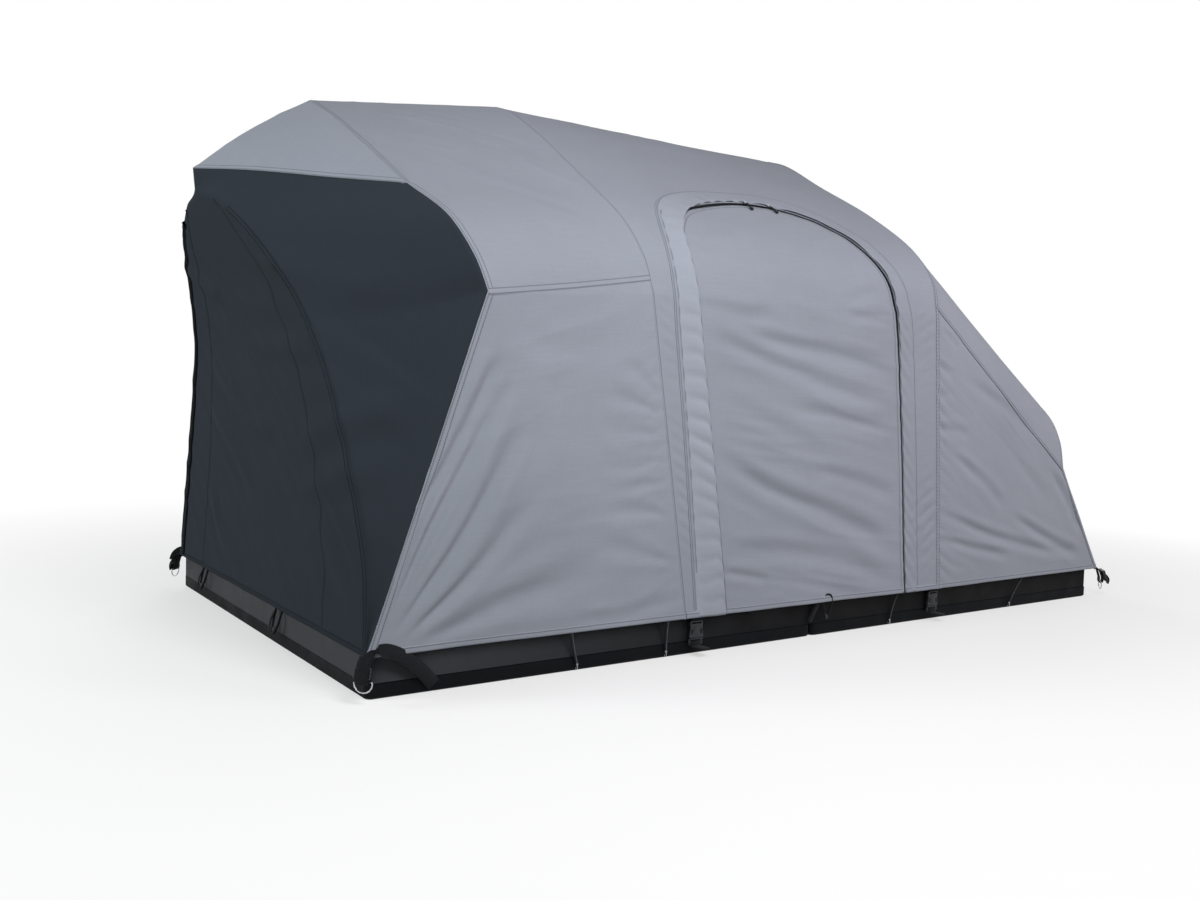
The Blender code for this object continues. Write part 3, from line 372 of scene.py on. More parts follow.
# Cloth surfaces: the hoops that carry a bay, its rows of points and its sag
BAYS = {
    "rear": (HOOP_REAR, HOOP_MID, 20 * K, 0.004),
    "door": (HOOP_MID, HOOP_FRONT, 24 * K, 0.005),
    "front": (HOOP_FRONT, HOOP_NOSE, 20 * K, 0.002),
}


def bay_grid(name):
    """Rows of cloth points between two hoops, with sag and folds."""
    hoop_a, hoop_b, rows, sag = BAYS[name]
    s = np.linspace(0.0, 1.0, rows + 1)[:, None]
    line = hoop_a[None] * (1 - s[..., None]) + hoop_b[None] * s[..., None]
    away = line.copy()
    away[..., 0] = 0.0
    away[..., 2] -= INSIDE_Z
    away /= np.linalg.norm(away, axis=-1)[..., None]
    u = RIDGE_U[None] * np.ones_like(s)
    ss = s * np.ones_like(u)
    depth = sag * np.sin(math.pi * ss) * (0.45 + 0.55 * np.sin(math.pi * u) ** 2)
    base = line - away * depth[..., None]
    height = fold_height(name, base[..., 0] + CENTRE_X, base[..., 1], base[..., 2], ss, u)
    height *= ramp(np.minimum(ss, 1 - ss), 0.0, 0.03)
    return base + grid_normals(base) * height[..., None]


def grid_normals(grid):
    """Outward unit normals of a grid of points."""
    n = np.cross(np.gradient(grid, axis=0), np.gradient(grid, axis=1))
    n = n / np.maximum(np.linalg.norm(n, axis=-1)[..., None], 1e-12)
    out = grid - np.array([0.0, 0.0, INSIDE_Z])
    return n * np.where((n * out).sum(-1) < 0, -1.0, 1.0)[..., None]


PANEL_STEPS = 6 * K            # from the rear hoop to the inner hoop
PANEL_HALF = 12 * K            # from the inner hoop to the middle


def rear_panel_grid():
    """The dark end panel, hem to eave, near edge to far edge."""
    inner_line = smooth_curve(INNER_HOOP, 200)
    lengths = arc_lengths(inner_line)
    crown = place(smooth_curve(smooth_curve(INNER_CROWN, 5), PANEL_HALF + 1))
    t = np.linspace(0, 1, PANEL_HALF + 1)[:, None]
    bulge = crown - (crown[:1] + (crown[-1:] - crown[:1]) * t)
    eave = even_steps(place(smooth_curve(EAVE, 60)), PANEL_STEPS + PANEL_HALF + 1)
    last = ELBOW + (EAVE_ROW - LEG_ROWS) * K
    s1 = np.linspace(0, 1, PANEL_STEPS, endpoint=False)[:, None]
    rows = []
    for k in range(EAVE_INDEX + 1):
        kk = min(k, last)
        part = CAD_ROW[kk] / EAVE_ROW
        top = part ** 3
        draw = 0.010 * math.sin(math.pi * part)
        at = np.array([np.interp(part * lengths[-1], lengths, inner_line[:, c]) for c in range(3)])
        hoop = place(at)
        middle = np.array([hoop[0] - 0.016 * top, 0.0, hoop[2] + 0.040 * top])
        p1 = HOOP_REAR[kk] * (1 - s1) + hoop * s1
        p1[:, 0] += (draw * np.sin(math.pi * s1))[:, 0]
        p2 = hoop * (1 - t) + middle * t + bulge * top
        p2[:, 0] += (0.8 * draw * np.sin(math.pi * t / 2))[:, 0]
        row = np.concatenate([p1, p2])
        if k > last:
            w = (k - last) / K
            row = row * (1 - w) + eave * w
            row[0] = HOOP_REAR[k]
        rows.append(row)
    near = np.array(rows)
    grid = np.concatenate([near, mirrored(near[:, ::-1][:, 1:])], axis=1)
    y, z = grid[..., 1], grid[..., 2]
    v = np.linspace(0, 1, grid.shape[0])[:, None] * np.ones(grid.shape[:2])
    out = 0.0019 * streaks(y * 0.8 + z * 0.3, z - 0.35 * y, 0.35, 0.42, 0.075, 51)
    for height, width, points in PANEL_RIDGES:
        out += crease(y, z, -height, width, False, points)
    columns = np.arange(grid.shape[1])
    edge = np.minimum(columns, columns[::-1]) / (3 * K)
    hold = np.clip(edge, 0, 1)[None] * ramp(v, 0.0, 0.10) * (1 - ramp(v, 0.90, 1.0))
    out = out * hold - 0.0012 * np.exp(-((z - HEM_Z) / 0.02) ** 2) * lattice_noise(y / 0.08 + 9, y * 0, 57)
    return grid + grid_normals(grid) * out[..., None]


def brow_grid():
    """The roof's overhang above the end panel."""
    top = HOOP_REAR[EAVE_INDEX:LAST + 1 - EAVE_INDEX]
    low = whole_hoop(even_steps(place(smooth_curve(EAVE, 60)), (len(top) + 1) // 2))
    width = np.linalg.norm(top - low, axis=1)
    s = np.linspace(0, 1, 6 * K + 1)[:, None]
    grid = top[None] * (1 - s[..., None]) + low[None] * s[..., None]
    grid[..., 2] += 0.010 * np.sin(math.pi * s) * np.minimum(1.0, width / 0.15)[None]
    out = 0.0017 * streaks(grid[..., 0] + 3, np.abs(grid[..., 1]), 1.35, 0.25, 0.060, 61)
    out = out * np.sin(math.pi * s) ** 0.6 * np.minimum(1.0, width / 0.12)[None]
    return grid + grid_normals(grid) * out[..., None]


def nose_grid():
    """The low end of the fly, between its two legs."""
    span = np.linspace(0.0, 1.0, 24 * K + 1)
    near, far = HOOP_NOSE[:HALF], HOOP_NOSE[::-1][:HALF]
    grid = near[:, None] * (1 - span)[None, :, None] + far[:, None] * span[None, :, None]
    rise = np.sin(math.pi * RIDGE_U[:HALF])[:, None]
    grid[..., 0] -= 0.006 * np.sin(math.pi * span)[None] * rise
    y, z = grid[..., 1], grid[..., 2]
    inward = HALF_WIDTH - np.abs(y)
    out = 0.0012 * streaks(y + 4, z, 0.0, 0.30, 0.055, 73)
    for spec in ((4.0, 10, True, [(0.03, 0.10), (0.09, 0.16), (0.15, 0.24), (0.22, 0.35)]),
                 (3.4, 11, True, [(0.05, 0.09), (0.14, 0.12), (0.26, 0.16), (0.40, 0.18)]),
                 (3.0, 10, True, [(0.02, 0.14), (0.05, 0.24), (0.09, 0.36)]),
                 (2.4, 14, False, [(0.10, 0.50), (0.24, 0.46), (0.42, 0.47)])):
        out += crease(inward + 0.02 * lattice_noise(y * 5 + 3, z * 5, 75) * (y > 0), z, *spec)
    hold = np.sin(math.pi * span)[None] ** 0.4 * (1 - ramp(z, 0.60, 0.66))
    hold *= 0.3 + 0.7 * ramp(z, 0.080, 0.12)
    return grid + grid_normals(grid) * (out * hold)[..., None]


@contextmanager
def edited(mesh):
    """A mesh opened for bmesh operators; what they leave is written back to it."""
    bm = bmesh.new()
    bm.from_mesh(mesh)
    yield bm
    bm.to_mesh(mesh)
    bm.free()


def add_object(name, data):
    obj = bpy.data.objects.new(name, data)
    bpy.context.scene.collection.objects.link(obj)
    return obj


def new_object(name, verts, faces, mat, uvs):
    mesh = bpy.data.meshes.new(name)
    mesh.from_pydata(np.asarray(verts, float), [], faces)
    mesh.update()
    layer = mesh.uv_layers.new(name="UVMap")
    index = np.zeros(len(mesh.loops), dtype=np.int32)
    mesh.loops.foreach_get("vertex_index", index)
    layer.data.foreach_set("uv", np.asarray(uvs, float)[index].reshape(-1))
    mesh.materials.append(mat)
    return add_object(name, mesh)


def surfaced(mesh, sharp, weld=0.0):
    """Turns a closed mesh's faces outward; edges sharper than that many degrees stay sharp."""
    with edited(mesh) as bm:
        if weld:
            bmesh.ops.remove_doubles(bm, verts=bm.verts, dist=weld)
        bmesh.ops.recalc_face_normals(bm, faces=bm.faces)
    mesh.shade_smooth()
    mesh.set_sharp_from_angle(angle=math.radians(sharp))


def attach(obj, body):
    """Cloth rides on a body. Where the body has a hinge, the cloth only has its transform put into its mesh
    and rides on no body.
    """
    hinge = next((joint for joint in frame["joints"] if joint["name"] == body + "_hinge"), None)
    if hinge is None:
        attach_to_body(obj, body)
        return
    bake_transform(obj)


def metric_uv(grid):
    """Lengths along and across a grid of cloth, in metres."""
    v = arc_lengths(grid[grid.shape[0] // 2])
    v = v - v[grid.shape[1] // 2]
    u = np.zeros(grid.shape[:2])
    u[1:] = np.cumsum(np.linalg.norm(np.diff(grid, axis=0), axis=-1), axis=0)
    return np.stack([u, np.broadcast_to(v[None], u.shape)], -1)


class Cloth:
    """Gathers grids of points into one welded sheet, cut along outlines if asked."""

    def __init__(self):
        self.verts, self.uvs, self.faces = [], [], []
        self.count = 0

    def extend(self, verts, uvs, faces):
        self.verts.append(verts)
        self.uvs.append(uvs)
        self.faces.extend(faces)
        self.count += len(verts)

    def add(self, grid, uv, value=None):
        """Adds a grid of points; with values, only the part where they aren't negative."""
        rows, cols = grid.shape[:2]
        index = np.arange(rows * cols).reshape(rows, cols)
        quads = np.stack([index[:-1, :-1], index[1:, :-1], index[1:, 1:], index[:-1, 1:]], -1).reshape(-1, 4)
        flat, flat_uv = grid.reshape(-1, 3), uv.reshape(-1, 2)
        if value is None:
            self.extend(flat, flat_uv, (quads + self.count).tolist())
            return
        val = value.reshape(-1)
        inside = (val >= 0)[quads]
        edge = quads[inside.any(1) & ~inside.all(1)]
        faces = (quads[inside.all(1)] + self.count).tolist()
        cuts, cut_verts, cut_uvs = {}, [], []

        def crossing(a, b):
            key = (min(a, b), max(a, b))
            if key not in cuts:
                t = val[key[0]] / (val[key[0]] - val[key[1]])
                cuts[key] = self.count + len(flat) + len(cut_verts)
                cut_verts.append(flat[key[0]] * (1 - t) + flat[key[1]] * t)
                cut_uvs.append(flat_uv[key[0]] * (1 - t) + flat_uv[key[1]] * t)
            return cuts[key]

        for quad in edge.tolist():
            poly = []
            for p, q in zip(quad, quad[1:] + quad[:1]):
                if val[p] >= 0:
                    poly.append(p + self.count)
                if (val[p] >= 0) != (val[q] >= 0):
                    poly.append(crossing(p, q))
            if len(poly) >= 3:
                faces.append(poly)
        self.extend(np.concatenate([flat, np.reshape(cut_verts, (-1, 3))]),
                    np.concatenate([flat_uv, np.reshape(cut_uvs, (-1, 2))]), faces)

    def build(self, name, mat, thickness, body):
        obj = new_object(name, np.concatenate(self.verts), self.faces, mat, np.concatenate(self.uvs))
        inside = Vector((0, 0, INSIDE_Z))
        with edited(obj.data) as bm:
            bmesh.ops.delete(bm, geom=[v for v in bm.verts if not v.link_faces], context="VERTS")
            bmesh.ops.remove_doubles(bm, verts=bm.verts, dist=4e-4)
            bmesh.ops.dissolve_degenerate(bm, dist=1e-5, edges=bm.edges)
            bmesh.ops.recalc_face_normals(bm, faces=bm.faces)
            if sum(f.normal.dot(f.calc_center_median() - inside) * f.calc_area() for f in bm.faces) < 0:
                bmesh.ops.reverse_faces(bm, faces=bm.faces)
            obj["cloth_area"] = sum(f.calc_area() for f in bm.faces)
        obj.data.shade_smooth()
        mod = obj.modifiers.new("thickness", "SOLIDIFY")
        mod.thickness = thickness
        mod.offset = -1.0
        mod.use_even_offset = True
        mod.use_quality_normals = True
        attach(obj, body)
        return obj


# Materials
class Nodes:
    """Short ways to write a node tree."""

    def __init__(self, tree):
        self.tree = tree

    def feed(self, socket, value):
        """Gives a socket a number, a colour or another node's output."""
        if isinstance(value, bpy.types.NodeSocket):
            self.tree.links.new(value, socket)
        elif socket.type == "RGBA":
            socket.default_value = (*value, 1.0)
        else:
            socket.default_value = value

    def node(self, kind, inputs, **settings):
        n = self.tree.nodes.new(kind)
        for key, value in settings.items():
            setattr(n, key, value)
        for key, value in inputs.items():
            if value is not None:
                self.feed(n.inputs[key], value)
        return n

    def coords(self, which="Object", scale=(1, 1, 1)):
        place_on = self.node("ShaderNodeTexCoord", {}).outputs[which]
        return self.node("ShaderNodeMapping", {"Vector": place_on, "Scale": scale}).outputs["Vector"]

    def axes(self, vector):
        return self.node("ShaderNodeSeparateXYZ", {0: vector}).outputs

    def noise(self, vector, scale, detail=2.0, roughness=0.5):
        inputs = {"Vector": vector, "Scale": scale, "Detail": detail, "Roughness": roughness}
        return self.node("ShaderNodeTexNoise", inputs).outputs["Fac"]

    def math(self, op, a, b=None):
        return self.node("ShaderNodeMath", {0: a, 1: b}, operation=op).outputs[0]

    def times(self, a, b):
        return self.math("MULTIPLY", a, b)

    def wave(self, value, pitch):
        return self.math("SINE", self.times(value, 2 * math.pi / pitch))

    def mapped(self, value, low, high, out_low=0.0, out_high=1.0):
        inputs = {"Value": value, "From Min": low, "From Max": high, "To Min": out_low, "To Max": out_high}
        return self.node("ShaderNodeMapRange", inputs).outputs["Result"]

    def mix(self, factor, a, b):
        return self.node("ShaderNodeMix", {0: factor, 6: a, 7: b}, data_type="RGBA").outputs[2]

    def bump(self, height, strength, distance, under=None):
        inputs = {"Strength": strength, "Distance": distance, "Height": height, "Normal": under}
        return self.node("ShaderNodeBump", inputs).outputs["Normal"]


class Material(Nodes):
    """A node material with one principled shader."""

    def __init__(self, name, colour, roughness, metallic=0.0):
        self.mat = bpy.data.materials.new(name)
        self.mat.use_nodes = True
        self.mat.diffuse_color = (*colour, 1.0)
        super().__init__(self.mat.node_tree)
        self.sockets = self.tree.nodes["Principled BSDF"].inputs
        self.feed(self.sockets["Base Color"], colour)
        self.feed(self.sockets["Roughness"], roughness)
        self.feed(self.sockets["Metallic"], metallic)

    def finish(self, colour, roughness, normal, specular=0.5, sheen=0.0):
        for key, value in (("Base Color", colour), ("Roughness", roughness), ("Normal", normal),
                           ("Specular IOR Level", specular), ("Sheen Weight", sheen)):
            self.feed(self.sockets[key], value)
        return self.mat


def tone(colour, k):
    return tuple(min(1.0, c * k) for c in colour)


def weave_height(m, uv, pitch):
    """Plain weave: two crossed sets of threads that pass over and under."""
    axes = m.axes(uv)
    warp, weft = m.wave(axes[0], 2 * pitch), m.wave(axes[1], 2 * pitch)
    over = m.mapped(m.times(warp, weft), -0.3, 0.3)
    return m.math("ADD", m.times(over, m.math("ABSOLUTE", warp)),
                  m.times(m.math("SUBTRACT", 1.0, over), m.math("ABSOLUTE", weft)))


STITCH_WIDTH = 0.0019


def stitch_lines(m, uv, offsets, pitch):
    """Rows of stitches on a tape; u runs along it and v across, in metres."""
    axes = m.axes(uv)
    dash = m.mapped(m.wave(axes[0], pitch), -0.55, -0.2, 0.35, 1.0)
    total = None
    for offset in offsets:
        away = m.math("ABSOLUTE", m.math("SUBTRACT", axes[1], offset))
        row = m.times(m.mapped(away, STITCH_WIDTH * 0.35, STITCH_WIDTH * 0.7, 1.0, 0.0), dash)
        total = row if total is None else m.math("MAXIMUM", total, row)
    return total


def cloth_material(name, colour, roughness, pitch=0.0011, stitches=None, stitch_dark=0.40, sheen=0.06,
                   stitch_pitch=0.0046, specular=0.12, pale=0.0):
    """Coated canvas: plain weave, slubs, cloudy tone and fine wrinkles."""
    m = Material(name, colour, roughness)
    obj = m.coords("Object")
    uv = m.coords("UV")
    fine = m.noise(obj, 420.0)
    cloud = m.noise(obj, 3.2, 3.0, 0.55)
    slub = m.noise(m.coords("UV", (14.0, 240.0, 1.0)), 1.0)
    cross_slub = m.noise(m.coords("UV", (240.0, 14.0, 1.0)), 1.0)
    base = m.mix(m.mapped(cloud, 0.35, 0.65), tone(colour, 0.965), tone(colour, 1.035))
    grain = m.math("ADD", m.times(slub, 0.6), m.times(cross_slub, 0.4))
    base = m.mix(m.mapped(grain, 0.3, 0.7, 0.0, 0.13), base, tone(colour, 0.55))
    base = m.mix(m.mapped(fine, 0.35, 0.75, 0.0, 0.10), base, tone(colour, 0.5))
    weave = weave_height(m, uv, pitch)
    # Painted shade: the weave's hollows between the threads are painted darker.
    base = m.mix(m.mapped(weave, 0.0, 0.5, 0.10, 0.0), base, tone(colour, 0.3))
    # Painted light: with pale, the part with object x below -0.28 (the door band's rear leg) is painted
    # lighter, standing in for light falling on it.
    if pale:
        base = m.mix(m.mapped(m.axes(obj)[0], -0.28, -0.10, pale, 0.0), base, tone(colour, 2.2))
    normal = m.bump(weave, 0.35, 0.0002)
    normal = m.bump(m.noise(obj, 26.0, 3.0, 0.6), 0.26, 0.0022, normal)
    if stitches:
        lines = stitch_lines(m, uv, stitches, stitch_pitch)
        base = m.mix(m.times(lines, 1.0 - stitch_dark), base, tone(colour, 0.22))
        normal = m.bump(m.math("SUBTRACT", 1.0, lines), 0.8, 0.0008, normal)
    rough = m.mapped(cloud, 0.3, 0.7, roughness - 0.05, roughness + 0.05)
    return m.finish(base, rough, normal, specular, sheen)


def webbing_material(name, colour):
    """Ribbed webbing, paler where it has rubbed."""
    m = Material(name, colour, 0.82)
    axes = m.axes(m.coords("UV"))
    height = m.math("ADD", m.times(m.wave(axes[0], 0.0016), 0.5), m.times(m.wave(axes[1], 0.0030), 0.5))
    wear = m.noise(m.coords("Object"), 60.0, 3.0)
    rubbed = m.mix(m.mapped(wear, 0.45, 0.75), tone(colour, 1.2), tone(colour, 2.4))
    # Painted shade and wear: the rib hollows are painted darker as shade, and the crests take the paler
    # rubbed colour.
    return m.finish(m.mix(m.mapped(height, -0.6, 0.8), tone(colour, 0.55), rubbed),
                    m.mapped(wear, 0.3, 0.7, 0.72, 0.9), m.bump(height, 0.6, 0.0004), 0.2, 0.05)


def plastic_material(name, colour, roughness, grain=900.0, wear=1.35, specular=0.3, painted_shade=None):
    """Moulded plastic or coated board: fine grain, smears, paler rubbed places, and painted shade that
    darkens it along its length.
    """
    m = Material(name, colour, roughness)
    obj = m.coords("Object")
    smear = m.noise(obj, 18.0, 4.0, 0.6)
    base = m.mix(m.mapped(smear, 0.4, 0.7), colour, tone(colour, wear))
    # Painted shade: from object x -1.0 to -0.15 the colour darkens to that fraction of itself, standing in
    # for the shadow under the fly's hem.
    if painted_shade:
        base = m.mix(m.mapped(m.axes(obj)[0], -1.00, -0.15), base, tone(colour, painted_shade))
    return m.finish(base, m.mapped(smear, 0.3, 0.7, roughness - 0.08, roughness + 0.10),
                    m.bump(m.noise(obj, grain), 0.25, 0.0002), specular)


def metal_material(name, colour, roughness):
    """Brushed metal."""
    m = Material(name, colour, roughness, 1.0)
    brushed = m.noise(m.coords("Object", (900.0, 900.0, 30.0)), 1.0)
    smear = m.noise(m.coords("Object"), 25.0, 3.0)
    base = m.mix(m.mapped(smear, 0.35, 0.7), tone(colour, 0.9), tone(colour, 1.08))
    return m.finish(base, m.mapped(brushed, 0.3, 0.7, roughness - 0.06, roughness + 0.10),
                    m.bump(brushed, 0.08, 0.0001))


def zip_material(name, colour):
    """Woven zip tape with the dark coil along its middle."""
    m = Material(name, colour, 0.55)
    teeth = m.wave(m.axes(m.coords("UV"))[0], 0.0016)
    wear = m.noise(m.coords("Object"), 40.0, 3.0)
    base = m.mix(m.mapped(wear, 0.4, 0.7), colour, tone(colour, 1.8))
    # Painted shade: the dips between the teeth are painted darker.
    return m.finish(m.mix(m.mapped(teeth, -0.5, 0.5, 0.4, 0.0), base, tone(colour, 0.4)),
                    m.mapped(wear, 0.3, 0.7, 0.48, 0.68), m.bump(teeth, 0.5, 0.0004), 0.25)


GREY = (0.292, 0.312, 0.362)
DARK = (0.0325, 0.0390, 0.0490)
BLACK = (0.0085, 0.0095, 0.0115)


def grey_cloth(name, stitches=None, k=1.0, **kw):
    return cloth_material(name, tone(GREY, k), 0.80, stitches=stitches, **kw)


def dark_cloth(name, colour, stitches=None, roughness=0.86):
    return cloth_material(name, colour, roughness, stitches=stitches, sheen=0.01, specular=0.03)


FLY = grey_cloth("fly_cloth")
# Painted light: the band's rear leg is painted lighter.
FLY_BAND = grey_cloth("fly_band", pale=0.12)
FLY_SEAM_2 = grey_cloth("fly_seam_double", (-0.0032, 0.0032))
FLY_SEAM_1 = grey_cloth("fly_seam_single", (0.0,))
FLY_HEM = grey_cloth("fly_hem", (0.0028,))
FLY_EDGE = grey_cloth("fly_edge", (0.0042, -0.0042))
FLY_SEAM_DASHED = grey_cloth("fly_seam_dashed", (-0.0042, 0.0042), stitch_dark=0.1, stitch_pitch=0.0085)
FLY_SEAM_WIDE = grey_cloth("fly_seam_wide", (-0.0048, 0.0048))
FLY_PIPING = grey_cloth("fly_piping", (-0.0040, 0.0030), 0.94, stitch_dark=0.15)
DARK_CLOTH = dark_cloth("dark_cloth", DARK)
DARK_HEM = dark_cloth("dark_hem", tone(DARK, 0.85), (0.0028,))
DARK_SEAM_1 = dark_cloth("dark_seam_single", tone(DARK, 0.92), (0.0,))
DARK_SEAM_2 = dark_cloth("dark_seam_double", tone(DARK, 0.92), (-0.003, 0.003))
# Painted shade: a near-black strip laid along the end panel's far silhouette.
PAINTED_SHADE_STRIP = dark_cloth("painted_shade_strip", tone(BLACK, 0.7), (0.0045,), 0.80)
FOAM = cloth_material("mattress_cover", (0.16, 0.165, 0.18), 0.90, pitch=0.0022)
FOAM_PIPING = cloth_material("mattress_piping", (0.10, 0.105, 0.115), 0.85, pitch=0.0016)
WEBBING = webbing_material("black_webbing", BLACK)
CORD = webbing_material("black_cord", tone(BLACK, 0.85))
# Painted highlight: a grey copy of the black cord for each hem tie's second strand.
PAINTED_HIGHLIGHT_CORD = webbing_material("painted_highlight_cord", (0.085, 0.088, 0.096))
BUCKLE = plastic_material("buckle_plastic", (0.008, 0.009, 0.011), 0.36, specular=0.5)
BOARD = plastic_material("board_edge", (0.0022, 0.0027, 0.0036), 0.60, 260.0, specular=0.12)
# Painted shade: the base wall's colour is darkened to 0.14 of itself towards the front, for the shadow under
# the fly's hem.
WALL = plastic_material("base_wall", (0.047, 0.049, 0.054), 0.66, 420.0, 1.15, specular=0.12, painted_shade=0.14)
HUB = plastic_material("hub_plastic", (0.014, 0.014, 0.016), 0.45)
ZIP = zip_material("zip_black", (0.007, 0.008, 0.010))
POLE = metal_material("pole_metal", (0.56, 0.57, 0.59), 0.32)
STEEL = metal_material("ring_steel", (0.60, 0.60, 0.62), 0.22)
GLINT = metal_material("small_fitting", (0.42, 0.43, 0.45), 0.30)

# The solids that stay take these materials
KEPT = (("pole_", POLE), ("side_rail", POLE), ("hub_", HUB), ("base_board", BOARD), ("base_wall", WALL),
        ("corner_ring", STEEL))
for node, obj in frame["nodes"].items():
    for start, mat in KEPT:
        if node.startswith(start):
            for slot in obj.material_slots:
                slot.material = mat


# The fly
REAR = bay_grid("rear")
DOORS = bay_grid("door")
FRONT = bay_grid("front")
BROW = brow_grid()
NOSE = nose_grid()
ENDS = rear_panel_grid()
NORMALS = {id(g): grid_normals(g) for g in (REAR, DOORS, FRONT, BROW, NOSE, ENDS)}
DOOR_NORMALS = NORMALS[id(DOORS)]
SIDES = (("near", 1, slice(0, HALF)), ("far", -1, slice(HALF - 1, None)))


def mirror_columns(near):
    return np.concatenate([near, near[:, ::-1][:, 1:]], axis=1)


door_x, door_z = DOORS[..., 0] + CENTRE_X, DOORS[..., 2]
EDGE, BAND_EDGE = (mirror_columns(line_distance(door_x[:, :HALF], door_z[:, :HALF], line)[0])
                   for line in (DOOR_LINE, BAND_LINE))
FLAP_GAP = 0.0045              # door flap to door frame
WIDER = 0.0032                 # how much that gap opens round the top of the door, where the zip shows most
DOOR_UV = metric_uv(DOORS)
OVERHEAD = ramp(door_z, 0.55, 0.80) * ramp(door_x, 0.74, 0.86)

canopy = Cloth()
canopy.add(BROW, metric_uv(BROW))
canopy.add(REAR, metric_uv(REAR))
canopy.add(DOORS, DOOR_UV + (0.7, 0), value=EDGE)
canopy.add(FRONT, metric_uv(FRONT) + (1.5, 0))
canopy.add(NOSE, metric_uv(NOSE)[..., ::-1] + (3.0, 0))
fly = canopy.build("fly_canopy", FLY, FLY_T, "tent")
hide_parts("fly_brow", "fly_rear_bay", "fly_door_bay", "fly_front_bay", "fly_nose")

ends = Cloth()
ends.add(ENDS, metric_uv(ENDS))
end_panel = ends.build("fly_end_panel", DARK_CLOTH, FLY_T, "tent")
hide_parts("fly_rear_panel")

for side, sign, half in SIDES:
    flap = Cloth()
    flap.add(DOORS[:, half], DOOR_UV[:, half], value=-(EDGE + FLAP_GAP + WIDER * OVERHEAD)[:, half])
    door = flap.build("door_flap_" + side, FLY, FLY_T, "door_" + side)
    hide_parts("door_" + side)


# Seams, tapes and bands
def sample(grid, i, j):
    """Position and outward normal at fractional row i and column j of a grid."""
    i = np.clip(np.asarray(i, float), 0, grid.shape[0] - 1.0001)
    j = np.clip(np.asarray(j, float), 0, grid.shape[1] - 1.0001)
    a, b = i.astype(int), j.astype(int)
    fa, fb = (i - a)[:, None], (j - b)[:, None]

    def mixed_at(g):
        return (g[a, b] * (1 - fa) * (1 - fb) + g[a + 1, b] * fa * (1 - fb)
                + g[a, b + 1] * (1 - fa) * fb + g[a + 1, b + 1] * fa * fb)

    n = mixed_at(NORMALS[id(grid)])
    return mixed_at(grid), n / np.linalg.norm(n, axis=1)[:, None]


def ring_faces(rings, count, closed=False):
    """Quads between rings of points that follow each other, and the two end caps."""
    faces = []
    for r in range(rings if closed else rings - 1):
        a, b = r * count, (r + 1) % rings * count
        for k in range(count):
            q = (k + 1) % count
            faces.append((a + k, a + q, b + q, b + k))
    if not closed:
        faces.append(tuple(range(count))[::-1])
        faces.append(tuple(range((rings - 1) * count, rings * count)))
    return faces


def unit_rows(vectors):
    return vectors / np.linalg.norm(vectors, axis=1)[:, None]


def ribbon(name, points, normals, width, height, mat, body="tent", sink=0.0010, slot="fly", bevel=0.0016):
    """A flat tape with soft edges that lies on the cloth along a line of points."""
    pts, nrm = np.asarray(points), np.asarray(normals)
    side = unit_rows(np.cross(nrm, unit_rows(np.gradient(pts, axis=0))))
    half, bevel = width / 2, min(bevel, width * 0.3)
    height = np.broadcast_to(height, len(pts))[:, None]
    profile = ((-half, None), (-half + 0.3 * bevel, 0.55), (-half + bevel, 1.0), (0.0, 1.08),
               (half - bevel, 1.0), (half - 0.3 * bevel, 0.55), (half, None))
    along = arc_lengths(pts)
    rings, uvs = [], []
    for across, part in profile:
        rings.append(pts + side * across + nrm * (height * part if part else -sink))
        uvs.append(np.column_stack([along, np.full(len(pts), across)]))
    verts = np.stack(rings, 1).reshape(-1, 3)
    obj = new_object(name, verts, ring_faces(len(pts), len(profile)), mat, np.stack(uvs, 1).reshape(-1, 2))
    surfaced(obj.data, 50)
    attach(obj, body)
    return obj


def on_both_sides(name, grid, i, j, *args, body="tent", lift=0.0, **kw):
    """A tape along rows and columns of a grid, on the near side and at the mirrored columns."""
    for side, rows, at in (("near", i, j), ("far", i[::-1], (grid.shape[1] - 1 - j)[::-1])):
        p, n = sample(grid, rows, at)
        ribbon(name + "_" + side, p + n * lift, n, *args, body=body.replace("SIDE", side), **kw)


def rows_at(grid, distance, edge, j):
    """Rows that stay at that distance inside a grid's first (0) or last (1) row."""
    size = np.linalg.norm(grid[-2 if edge else 1] - grid[-1 if edge else 0], axis=1)
    i = distance / np.interp(j, np.arange(grid.shape[1]), size)
    return grid.shape[0] - 1 - i if edge else i


def columns(j0, j1):
    return np.linspace(j0, j1, int(abs(j1 - j0)) + 2)


def hoop_seam(name, grid, distance, edge, j, *args):
    """A tape beside a hoop, over the roof."""
    ribbon(name, *sample(grid, rows_at(grid, distance, edge, j), j), *args)


legs = columns(0.0, EAVE_INDEX)
on_both_sides("tape_rear_edge", REAR, rows_at(REAR, 0.0075, 0, legs), legs, 0.0150, 0.0008, FLY_EDGE)
hoop_seam("seam_rear_hoop", REAR, 0.0030, 0, columns(EAVE_INDEX, LAST - EAVE_INDEX), 0.0120, 0.0007,
          FLY_SEAM_2)
hoop_seam("seam_mid_hoop", REAR, 0.0010, 1, columns(0.0, LAST), 0.0080, 0.0006, FLY_SEAM_1)
hoop_seam("seam_front_hoop", FRONT, 0.0050, 0, columns(0.0, LAST), 0.0130, 0.0007, FLY_SEAM_DASHED)
hoop_seam("tape_eave", BROW, 0.0060, 1, columns(0.4, BROW.shape[1] - 1.4), 0.0120, 0.0008, FLY_EDGE)

